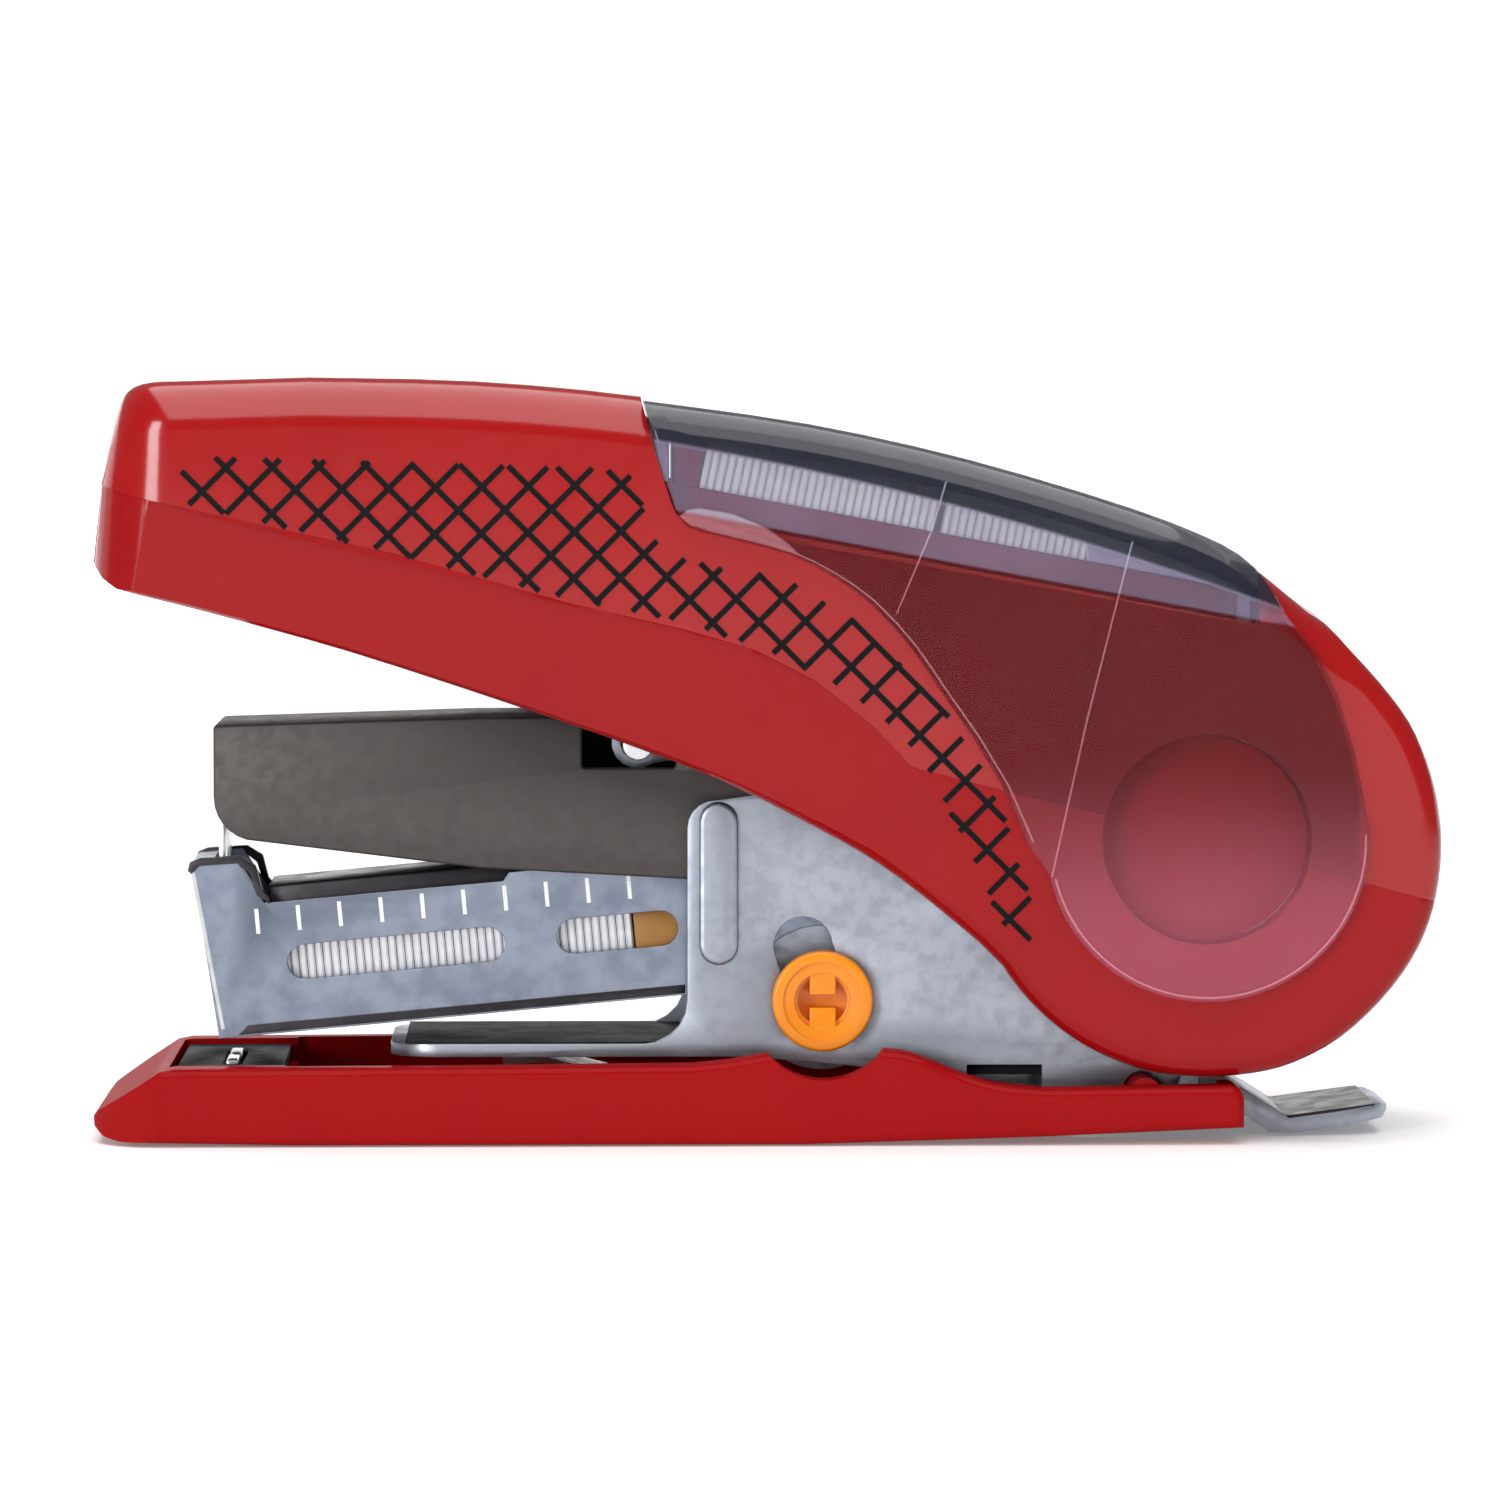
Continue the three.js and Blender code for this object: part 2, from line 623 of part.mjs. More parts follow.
function leverRoller() {
  const { x, z, radius, halfWidth, pin } = LEVER.roller;
  return union(
    disc(x, z, radius, ...symmetric(halfWidth), 20),
    disc(x, z, pin, ...symmetric(LEVER.plate[1]), 16),
  );
}

function leverCrossPin() {
  const { x, z, radius, halfWidth } = LEVER.crossPin;
  return disc(x, z, radius, ...symmetric(halfWidth), 20);
}

// ---- Handle ------------------------------------------------------------------------------

/** The hollow between the handle's side walls, open below and behind the axle's lower half. */
function handleHollow() {
  const wall = 1.6;
  const inside = [
    [-39.7, -5],
    [-39.7, 43.2],
    [-38.4, 44.3],
    ...HANDLE_TOP.slice(1, -1).map(([x, z]) => [x, z - wall]),
    [28.5, 33.3],
    [31, 31],
    ...arc(REAR_ROUND, REAR_ROUND.radius - wall, 55, -24, 12),
    [45, 4],
    [45, -5],
  ];
  return slab(inside, ...symmetric(LAYER.handle[0]));
}

const coverHole = () => disc(AXLE.x, AXLE.z, COVER_HOLE, -20, 20, 40);

function handleUpper() {
  const outer = LAYER.handle[1];
  const body = slab(handleOutline(), -outer, outer, { depth: 2.2, size: 1 });
  const upper = body.intersect(slab(abovePartingLine(0), -20, 20));
  const storeCut = [
    [STORE.front, 60],
    [STORE.front, 43.2],
    [-5.9, levelAt(-5.9, SILL)],
    [STORE.rear, levelAt(STORE.rear, SILL)],
    [STORE.rear, 60],
  ];
  const shell = cut(upper, handleHollow(), coverHole(), slab(storeCut, -20, 20));
  const bulkheadFoot = levelAt(STORE.front, TRAY_FLOOR) - TRAY.thickness;
  const bulkhead = [[-9.8, 44.6], [-9.8, bulkheadFoot], [-8.4, bulkheadFoot], [-8.4, 44.5]];
  const padTop = 45;
  const { x, z, halfWidth } = PRESS_PAD;
  return union(
    shell,
    slab(bulkhead, ...symmetric(LAYER.handle[0] + 0.3)),
    block(x, symmetric(halfWidth), [z, padTop]),
  );
}

function handleLower() {
  const outer = LAYER.lowerHandle[1];
  const body = slab(handleOutline(), -outer, outer, { depth: 1.2, size: 0.5 });
  const seam = 0.15;
  const trimmed = body.subtract(slab(abovePartingLine(-seam), -20, 20));
  return cut(trimmed, handleHollow(), coverHole());
}

/** The floor of the staple store, with a lip along each side and a step at the front. */
function storeTray() {
  const [x0, x1] = TRAY.x;
  const { thickness, lip, halfWidth } = TRAY;
  const stretch = (upper, from, to, drop) => [
    [from, levelAt(from, TRAY_FLOOR) - thickness],
    [to, levelAt(to, TRAY_FLOOR) - thickness],
    [to, levelAt(to, upper) - drop],
    [from, levelAt(from, upper) - drop],
  ];
  return union(
    slab(stretch(TRAY_FLOOR, x0, x1, 0), ...symmetric(halfWidth)),
    slab(stretch(LEDGE, x0, x0 + 1.4, 0), ...symmetric(halfWidth)),
    bothSides(slab(stretch(LEDGE, x0, x1, 0), halfWidth - lip, halfWidth)),
  );
}

/** The clear cover: a roof over the store, a plate down each side and a disc at the axle. */
function storageCover() {
  const [inner, outer] = LAYER.coverPlate;
  const roofLine = [[-7.9, 44.95], [2, 43.55], [11.7, 41.4], [21.6, 38.45], [27, 36.3], [29, 34.9]];
  const roofTop = through(roofLine, 14);
  const side = [
    ...roofTop,
    [30.9, 31.8],
    [33.9, 27.5],
    [35.6, 21.5],
    ...arc(AXLE, COVER.discRadius, 4, -168, 22),
    [15.2, 18.2],
    [13.6, 21.7],
    [9.9, 27.5],
    [5.7, 32.6],
    [0.9, 35.5],
    [-4.5, 36.9],
    [-5.6, 37.6],
    [-6.8, 41.3],
  ];
  const roof = [...roofTop, ...roofTop.toReversed().map(([x, z]) => [x, z - COVER.sheet])];
  const trunnion = disc(AXLE.x, AXLE.z, COVER.trunnionRadius, ...LAYER.trunnion, 40);
  return union(
    bothSides(slab(side, inner, outer).add(trunnion)),
    slab(roof, ...symmetric(inner + 0.2)),
  );
}

/** A stored strip lies along the sloping tray. */
function storedStrip(half, row) {
  const [x0, x1] = STORED.halves[half];
  const pitch = Math.atan(-TRAY_FLOOR.slope);
  const along = [0, (x1 - x0) / Math.cos(pitch)];
  const strip = stapleStrip(along, 0, STORED.height, row * STORED.rowOffset);
  return strip.rotate([0, THREE.MathUtils.radToDeg(pitch), 0])
    .translate([x0, 0, levelAt(x0, TRAY_FLOOR) + SEAT]);
}

// ---- Assembly ----------------------------------------------------------------------------

function add(group, name, solid, material) {
  const mesh = new THREE.Mesh(geometryOf(solid), material);
  mesh.name = name;
  group.add(mesh);
}

function baseAssembly() {
  const group = new THREE.Group();
  add(group, 'base_shell', baseShell(), redPlastic());
  add(group, 'anvil_table', anvilTable(), darkSteel());
  add(group, 'clincher_wings', clincherWings(), brightSteel());
  add(group, 'frame_lift_spring', frameLiftSpring(), brightSteel());
  add(group, 'frame_channel', frameChannel(), zincSteel());
  add(group, 'jaw_pin', jawPin(), orangePlastic());
  return group;
}

function magazineAssembly() {
  const group = new THREE.Group();
  group.position.set(AXLE.x, 0, AXLE.z);
  group.rotation.y = -JAW_TILT;
  add(group, 'magazine_channel', magazineChannel(), zincSteel());
  add(group, 'magazine_rail', magazineRail(), darkSteel());
  add(group, 'staple_hold_down', stapleHoldDown(), darkSteel());
  add(group, 'staple_strip', stapleStrip(STRIP.x, STRIP.bottom, STRIP.top), stapleSteel());
  add(group, 'pusher_shoe', pusherShoe(), ochrePlastic());
  add(group, 'pusher_guide', pusherGuide(), brightSteel());
  const { x, inner, outer } = PUSHER_SPRING;
  add(group, 'pusher_spring', tubeAlongX(x, GUIDE.z, inner, outer), brightSteel());
  return group;
}

function armAssembly() {
  const group = new THREE.Group();
  add(group, 'rear_axle', rearAxle(), brightSteel());
  add(group, 'lever_bracket', leverBracket(), zincSteel());
  add(group, 'fulcrum_pin', fulcrumPin(), brightSteel());
  add(group, 'return_spring', returnSpring(), brightSteel());
  add(group, 'driver_arm', driverArm(), darkSteel());
  add(group, 'driver_blade', driverBlade(), brightSteel());
  return group;
}

function leverAssembly() {
  const group = new THREE.Group();
  group.position.set(FULCRUM.x, 0, FULCRUM.z);
  group.rotation.y = LEVER_REST;
  add(group, 'power_lever', powerLever(), zincSteel());
  add(group, 'lever_roller', leverRoller(), brightSteel());
  add(group, 'lever_cross_pin', leverCrossPin(), brightSteel());
  return group;
}

function handleAssembly() {
  const group = new THREE.Group();
  add(group, 'handle_lower', handleLower(), redPlastic());
  add(group, 'handle_upper', handleUpper(), redPlastic());
  add(group, 'handle_bush_near', handleBush(-1), redPlastic());
  add(group, 'handle_bush_far', handleBush(1), redPlastic());
  add(group, 'store_tray', storeTray(), darkRedPlastic());
  add(group, 'stored_strip_front_near', storedStrip(0, -1), stapleSteel());
  add(group, 'stored_strip_front_far', storedStrip(0, 1), stapleSteel());
  add(group, 'stored_strip_rear_near', storedStrip(1, -1), stapleSteel());
  add(group, 'stored_strip_rear_far', storedStrip(1, 1), stapleSteel());
  add(group, 'storage_cover', storageCover(), clearPlastic());
  return group;
}

const stapler = new THREE.Group();
stapler.add(baseAssembly(), magazineAssembly(), armAssembly(), leverAssembly(), handleAssembly());

export default stapler;
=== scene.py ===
"""Looks of a compact light-effort desk stapler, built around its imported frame.

Sizes in the classes are millimetres; everything that reaches the scene is metres. X runs from the
nose to the tail, Z is up and the near side faces -Y. A side point is an (x, z) pair.
"""

import json
import logging
import math
from dataclasses import dataclass
from enum import Enum
from itertools import pairwise
from typing import Callable, Iterable, Sequence, Union

import bpy
from mathutils import Matrix, Vector

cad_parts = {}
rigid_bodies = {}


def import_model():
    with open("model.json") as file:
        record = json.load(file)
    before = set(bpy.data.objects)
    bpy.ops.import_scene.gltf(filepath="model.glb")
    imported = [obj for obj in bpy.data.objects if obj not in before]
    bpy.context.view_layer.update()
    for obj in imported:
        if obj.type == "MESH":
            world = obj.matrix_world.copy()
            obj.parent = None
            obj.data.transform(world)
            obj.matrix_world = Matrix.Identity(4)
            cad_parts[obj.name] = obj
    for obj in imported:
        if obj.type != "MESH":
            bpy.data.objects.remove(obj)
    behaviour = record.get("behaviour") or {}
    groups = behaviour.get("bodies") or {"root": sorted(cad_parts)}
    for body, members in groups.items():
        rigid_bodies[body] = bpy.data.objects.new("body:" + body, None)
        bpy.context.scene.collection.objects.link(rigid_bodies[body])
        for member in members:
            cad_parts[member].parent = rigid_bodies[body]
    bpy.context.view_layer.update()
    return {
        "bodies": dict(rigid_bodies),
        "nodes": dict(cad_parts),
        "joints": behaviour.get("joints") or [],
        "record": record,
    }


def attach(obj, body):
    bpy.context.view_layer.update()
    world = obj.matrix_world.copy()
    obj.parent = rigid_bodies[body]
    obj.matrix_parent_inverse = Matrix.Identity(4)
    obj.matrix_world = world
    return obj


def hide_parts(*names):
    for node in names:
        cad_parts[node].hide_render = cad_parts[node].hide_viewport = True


log = logging.getLogger("stapler")

MM = 0.001
Point = tuple[float, float]
Object = bpy.types.Object

AXLE: Point = (26.1, 18.4)
JAW_TILT = math.radians(5.3)
JAW_PIN: Point = (3.0, 8.4)
HUB_RADIUS = 6.3
HUB_HOLE = 6.36
BUSH_RADIUS = 6.25


class Slot(Enum):
    """Finish slots of the record."""

    RED = "red_plastic"
    DARK_RED = "dark_red_plastic"
    CLEAR = "clear_plastic"
    ORANGE = "orange_plastic"
    OCHRE = "ochre_plastic"
    ZINC = "zinc_steel"
    BRIGHT = "bright_steel"
    DARK = "dark_steel"
    ARM = "arm_steel"
    STAPLE = "staple_steel"


class View(Enum):
    """The plane an outline is drawn in, with the axis it is thickened along."""

    SIDE = (0, 2, 1)
    PLAN = (0, 1, 2)
    FRONT = (1, 2, 0)

    def place(self, point: Point, depth: float) -> Vector:
        """Turn an outline point at a depth into a place in the scene.

        Args:
            point: The outline point in millimetres.
            depth: The height along the thickness axis, in millimetres.

        Returns:
            The place in metres.
        """
        across, up, thick = self.value
        spot = Vector((0.0, 0.0, 0.0))
        spot[across], spot[up], spot[thick] = point[0], point[1], depth
        return spot * MM


# ---- Outlines ------------------------------------------------------------------------------


def arc(centre: Point, radius: float, start: float, stop: float, steps: int) -> list[Point]:
    """Points on a circle from one angle to another.

    Args:
        centre: The middle of the circle.
        radius: Its radius.
        start: First angle in degrees.
        stop: Last angle in degrees.
        steps: Number of stretches between the points.

    Returns:
        The points in order.
    """
    turns = (math.radians(start + (stop - start) * i / steps) for i in range(steps + 1))
    return [(centre[0] + radius * math.cos(t), centre[1] + radius * math.sin(t)) for t in turns]


def through(points: Sequence[Point], steps: int = 4) -> list[Point]:
    """A smooth line through the given points.

    Args:
        points: The points to pass through.
        steps: Number of stretches between two neighbours.

    Returns:
        The points of the smooth line.
    """
    line: list[Point] = []
    padded = [points[0], *points, points[-1]]
    for before, here, there, after in zip(padded, padded[1:], padded[2:], padded[3:]):
        for i in range(steps):
            t = i / steps
            weights = (
                (-t + 2 * t**2 - t**3) / 2,
                (2 - 5 * t**2 + 3 * t**3) / 2,
                (t + 4 * t**2 - 3 * t**3) / 2,
                (t**3 - t**2) / 2,
            )
            four = (before, here, there, after)
            line.append(tuple(sum(w * p[k] for w, p in zip(weights, four)) for k in (0, 1)))
    return [*line, points[-1]]


# ---- Bench tools ---------------------------------------------------------------------------


def select_only(*pieces: Object) -> None:
    """Select these pieces and nothing else, with the first one active."""
    if bpy.context.mode != "OBJECT":
        bpy.ops.object.mode_set(mode="OBJECT")
    bpy.ops.object.select_all(action="DESELECT")
    for piece in pieces:
        piece.select_set(True)
    if pieces:
        bpy.context.view_layer.objects.active = pieces[0]


def named(name: str) -> Object:
    """Name the active object and its mesh, and put its place into the mesh."""
    piece = bpy.context.object
    bpy.ops.object.transform_apply(location=True, rotation=True, scale=True)
    piece.name = piece.data.name = name
    return piece


def edit(piece: Object) -> None:
    """Open a piece in edit mode with everything selected."""
    select_only(piece)
    bpy.ops.object.mode_set(mode="EDIT")
    bpy.ops.mesh.select_mode(type="VERT")
    bpy.ops.mesh.select_all(action="SELECT")


def leave() -> None:
    """Close edit mode."""
    bpy.ops.object.mode_set(mode="OBJECT")


def choose_edges(piece: Object, test: Callable[[Vector, Vector], bool]) -> None:
    """Open a piece in edit mode with only the edges that pass a test selected.

    Args:
        piece: The piece.
        test: Takes the two ends of an edge in millimetres and says whether it is wanted.
    """
    edit(piece)
    bpy.ops.mesh.select_mode(type="EDGE")
    bpy.ops.mesh.select_all(action="DESELECT")
    leave()
    corners = [vertex.co / MM for vertex in piece.data.vertices]
    for edge in piece.data.edges:
        edge.select = test(corners[edge.vertices[0]], corners[edge.vertices[1]])
    bpy.ops.object.mode_set(mode="EDIT")


def edges_rounded(
    piece: Object, test: Callable[[Vector, Vector], bool], radius: float, steps: int
) -> Object:
    """Round the edges of a piece that pass a test.

    Args:
        piece: The piece.
        test: Takes the two ends of an edge in millimetres and says whether it is wanted.
        radius: Radius in millimetres.
        steps: Faces across the rounding.

    Returns:
        The piece.
    """
    choose_edges(piece, test)
    bpy.ops.mesh.bevel(offset=radius * MM, segments=steps, affect="EDGES")
    leave()
    return piece


def choose_faces(piece: Object, test: Callable[[Vector, Vector], bool]) -> None:
    """Open a piece in edit mode with only the faces that pass a test selected.

    Args:
        piece: The piece.
        test: Takes a face's centre in millimetres and its normal and says whether it is wanted.
    """
    edit(piece)
    bpy.ops.mesh.select_mode(type="FACE")
    bpy.ops.mesh.select_all(action="DESELECT")
    leave()
    for face in piece.data.polygons:
        face.select = test(face.center / MM, face.normal)
    bpy.ops.object.mode_set(mode="EDIT")


def outward(piece: Object) -> Object:
    """Merge a closed piece's doubled corners and point its faces outwards."""
    edit(piece)
    bpy.ops.mesh.remove_doubles(threshold=1e-7)
    bpy.ops.mesh.normals_make_consistent(inside=False)
    leave()
    return piece


def drawn(name: str, outline: Sequence[Point], depth: float, view: View = View.SIDE) -> Object:
    """Draw a flat face corner by corner.

    Args:
        name: Name of the piece.
        outline: Corners of the face.
        depth: Where the face lies along the axis it looks along.
        view: The plane the outline is drawn in.

    Returns:
        The piece, in edit mode, with its face selected.
    """
    select_only()
    places = [view.place(point, depth) for point in outline]
    bpy.ops.mesh.primitive_plane_add(size=MM, location=places[0])
    named(name)
    edit(bpy.context.object)
    bpy.ops.mesh.merge(type="CENTER")
    for here, there in pairwise(places):
        bpy.ops.mesh.extrude_region_move(TRANSFORM_OT_translate={"value": there - here})
    bpy.ops.mesh.select_all(action="SELECT")
    bpy.ops.mesh.edge_face_add()
    return bpy.context.object


def carried(*moves: Vector) -> None:
    """Extrude the selected face by each move in turn."""
    for move in moves:
        bpy.ops.mesh.extrude_region_move(TRANSFORM_OT_translate={"value": move})


def plate(
    name: str, outline: Sequence[Point], low: float, high: float, view: View = View.SIDE
) -> Object:
    """A piece with one outline all through its thickness, from low to high."""
    piece = drawn(name, outline, low, view)
    carried(view.place((0, 0), high - low))
    leave()
    return outward(piece)


def block(name: str, x: Point, y: Point, z: Point) -> Object:
    """A brick between two values on each axis."""
    return plate(name, [(x[0], z[0]), (x[1], z[0]), (x[1], z[1]), (x[0], z[1])], y[0], y[1])


def round_bar(name: str, centre: Point, radius: float, low: float, high: float) -> Object:
    """A round bar along Y between two depths."""
    select_only()
    bpy.ops.mesh.primitive_cylinder_add(
        vertices=64,
        radius=radius * MM,
        depth=(high - low) * MM,
        location=View.SIDE.place(centre, (low + high) / 2),
        rotation=(math.pi / 2, 0, 0),
    )
    return named(name)


def finished(piece: Object, kind: str, **settings: object) -> Object:
    """Put one modifier on a piece and apply it."""
    select_only(piece)
    modifier = piece.modifiers.new(kind.title(), kind)
    for key, value in settings.items():
        setattr(modifier, key, value)
    bpy.ops.object.modifier_apply(modifier=modifier.name)
    return piece


def combined(piece: Object, how: str, *tools: Object, keep: bool = False) -> Object:
    """Cut, add or intersect a piece with others.

    Args:
        piece: The piece that stays.
        how: DIFFERENCE, UNION or INTERSECT.
        tools: The pieces it is worked with.
        keep: Whether the tools stay in the scene.

    Returns:
        The piece.
    """
    for tool in tools:
        finished(piece, "BOOLEAN", object=tool, operation=how, solver="EXACT")
        if not piece.data.polygons:
            raise RuntimeError(f"{how} with {tool.name} leaves nothing of {piece.name}")
        if not keep:
            bpy.data.objects.remove(tool)
    return piece


def joined(name: str, pieces: Sequence[Object]) -> Object:
    """Put several pieces into one mesh."""
    select_only(*pieces)
    if len(pieces) > 1:
        bpy.ops.object.join()
    piece = bpy.context.object
    piece.name = piece.data.name = name
    return piece


def both_sides(piece: Object) -> Object:
    """Repeat a near-side piece on the far side."""
    finished(piece, "MIRROR", use_axis=(False, True, False), use_mirror_merge=False)
    return outward(piece)


def rims_rounded(piece: Object, half: float, radius: float, steps: int = 5) -> Object:
    """Round the two rims of a plate that reaches from -half to half along Y."""
    choose_edges(
        piece,
        lambda a, b: abs(abs(a.y) - half) < 1e-3 and abs(a.y - b.y) < 1e-3,
    )
    bpy.ops.mesh.bevel(offset=radius * MM, segments=steps, affect="EDGES", clamp_overlap=False)
    leave()
    return outward(piece)


def edges_broken(piece: Object, radius: float, angle: float = 30, steps: int = 2) -> Object:
    """Take the sharpness off every edge steeper than an angle in degrees."""
    return finished(
        piece,
        "BEVEL",
        width=radius * MM,
        segments=steps,
        limit_method="ANGLE",
        angle_limit=math.radians(angle),
        use_clamp_overlap=True,
        miter_outer="MITER_ARC",
    )


def smooth(piece: Object, angle: float = 35) -> Object:
    """Shade a piece smooth except over edges steeper than an angle in degrees."""
    select_only(piece)
    bpy.ops.object.shade_smooth_by_angle(angle=math.radians(angle))
    return piece


def evened(piece: Object) -> Object:
    """Let the large faces of a piece set its shading."""
    return finished(piece, "WEIGHTED_NORMAL", keep_sharp=True, weight=90)


def moved(piece: Object, turn: float, pivot: Point, shift: Point = (0.0, 0.0)) -> Object:
    """Turn a piece nose down about an axis along Y, then shift it in the side plane."""
    x, z = pivot
    centre = View.SIDE.place((x, z), 0)
    spin = Matrix.Translation(centre) @ Matrix.Rotation(turn, 4, "Y") @ Matrix.Translation(-centre)
    select_only(piece)
    piece.matrix_world = Matrix.Translation(View.SIDE.place(shift, 0)) @ spin
    bpy.ops.object.transform_apply(location=True, rotation=True, scale=True)
    return piece


@dataclass(frozen=True)
class Nose:
    """How a swept body is rounded and leans at its front."""

    reach: float = 5.0
    drop: float = 2.6
    lean: float = math.radians(6.5)
    pivot: float = 36.0
    steps: int = 9


def swept(
    name: str,
    section: Sequence[Point],
    spine: Sequence[Point],
    nose: Union[Nose, None] = None,
) -> Object:
    """A section in the YZ plane carried along a spine, with a rounded nose.

    Args:
        name: Name of the piece.
        section: Half of the section, as (y, drop below the spine) pairs from the middle out.
        spine: Side points that the middle of the section's top follows.
        nose: The rounding ahead of the first point, or nothing for a flat end.

    Returns:
        The closed piece.
    """
    ring = [*section, *((-y, drop) for y, drop in reversed(section) if y > 0)]
    x, z = spine[0]
    piece = drawn(name, [(y, z - drop) for y, drop in ring], x, View.FRONT)
    carried(*(View.SIDE.place((b[0] - a[0], b[1] - a[1]), 0) for a, b in pairwise(spine)))
    leave()
    outward(piece)
    if nose:
        half = max(y for y, _ in section)
        choose_faces(piece, lambda centre, normal: centre.x < x + 0.01 and normal.x < -0.9)
        ahead, low, wide = 0.0, 0.0, half
        for i in range(nose.steps):
            turn = math.pi / 2 * (i + 1) / nose.steps
            reach, drop = nose.reach * math.sin(turn), nose.drop * (1 - math.cos(turn)) ** 1.5
            width = half - nose.reach * (1 - math.cos(turn))
            carried(View.SIDE.place((ahead - reach, low - drop), 0))
            bpy.ops.transform.resize(value=(1, width / wide, 1), center_override=(0, 0, 0))
            bpy.ops.transform.rotate(
                value=-nose.lean / nose.steps,
                orient_axis="Y",
                center_override=View.SIDE.place((x - reach, nose.pivot), 0),
            )
            ahead, low, wide = reach, drop, width
        leave()
    return outward(piece)


def coil(
    name: str, start: Vector, radius: float, wire: float, length: float, turns: int
) -> Object:
    """A coil spring along X with closed wire ends.

    Args:
        name: Name of the piece.
        start: Middle of its first end, in millimetres.
        radius: Radius of the wire's middle line.
        wire: Radius of the wire.
        length: Length along the axis.
        turns: Number of turns.

    Returns:
        The spring.
    """
    select_only()
    bpy.ops.mesh.primitive_circle_add(vertices=10, radius=wire * MM)
    piece = named(name)
    edit(piece)
    bpy.ops.transform.rotate(value=math.pi / 2, orient_axis="Y", center_override=(0, 0, 0))
    bpy.ops.transform.rotate(value=math.pi / 2, orient_axis="Z", center_override=(0, 0, 0))
    bpy.ops.transform.translate(value=(0, 0, radius * MM))
    leave()
    finished(
        piece,
        "SCREW",
        axis="X",
        angle=math.tau,
        screw_offset=length / turns * MM,
        iterations=turns,
        steps=24,
        render_steps=24,
        use_merge_vertices=False,
    )
    select_only(piece)
    piece.location = start * MM
    bpy.ops.object.transform_apply(location=True, rotation=True, scale=True)
    edit(piece)
    bpy.ops.mesh.remove_doubles(threshold=1e-7)
    bpy.ops.mesh.fill_holes(sides=12)
    leave()
    return smooth(outward(piece), 60)


# ---- Finishes ------------------------------------------------------------------------------


def tone(red: int, green: int, blue: int) -> tuple[float, float, float, float]:
    """A display colour, 0 to 255 in each part, as the linear colour the shaders take."""

    def part(level: int) -> float:
        share = level / 255
        return share / 12.92 if share <= 0.04045 else ((share + 0.055) / 1.055) ** 2.4

    return (part(red), part(green), part(blue), 1.0)


Colour = tuple[float, float, float, float]
Entry = Union[float, Colour, Vector, "Signal"]


@dataclass(frozen=True)
class Signal:
    """A shader socket that is added, subtracted and multiplied as a number is."""

    recipe: "Recipe"
    socket: bpy.types.NodeSocket

    def maths(self, operation: str, first: Entry, second: Entry) -> "Signal":
        """The result of one Math node on two values."""
        return self.recipe.node("ShaderNodeMath", {"operation": operation}, {0: first, 1: second})

    def __add__(self, other: Entry) -> "Signal":
        """This value plus another."""
        return self.maths("ADD", self, other)

    def __radd__(self, other: Entry) -> "Signal":
        """Another value plus this one."""
        return self.maths("ADD", other, self)

    def __sub__(self, other: Entry) -> "Signal":
        """This value less another."""
        return self.maths("SUBTRACT", self, other)

    def __rsub__(self, other: Entry) -> "Signal":
        """Another value less this one."""
        return self.maths("SUBTRACT", other, self)

    def __mul__(self, other: Entry) -> "Signal":
        """This value times another."""
        return self.maths("MULTIPLY", self, other)

    def __rmul__(self, other: Entry) -> "Signal":
        """Another value times this one."""
        return self.maths("MULTIPLY", other, self)


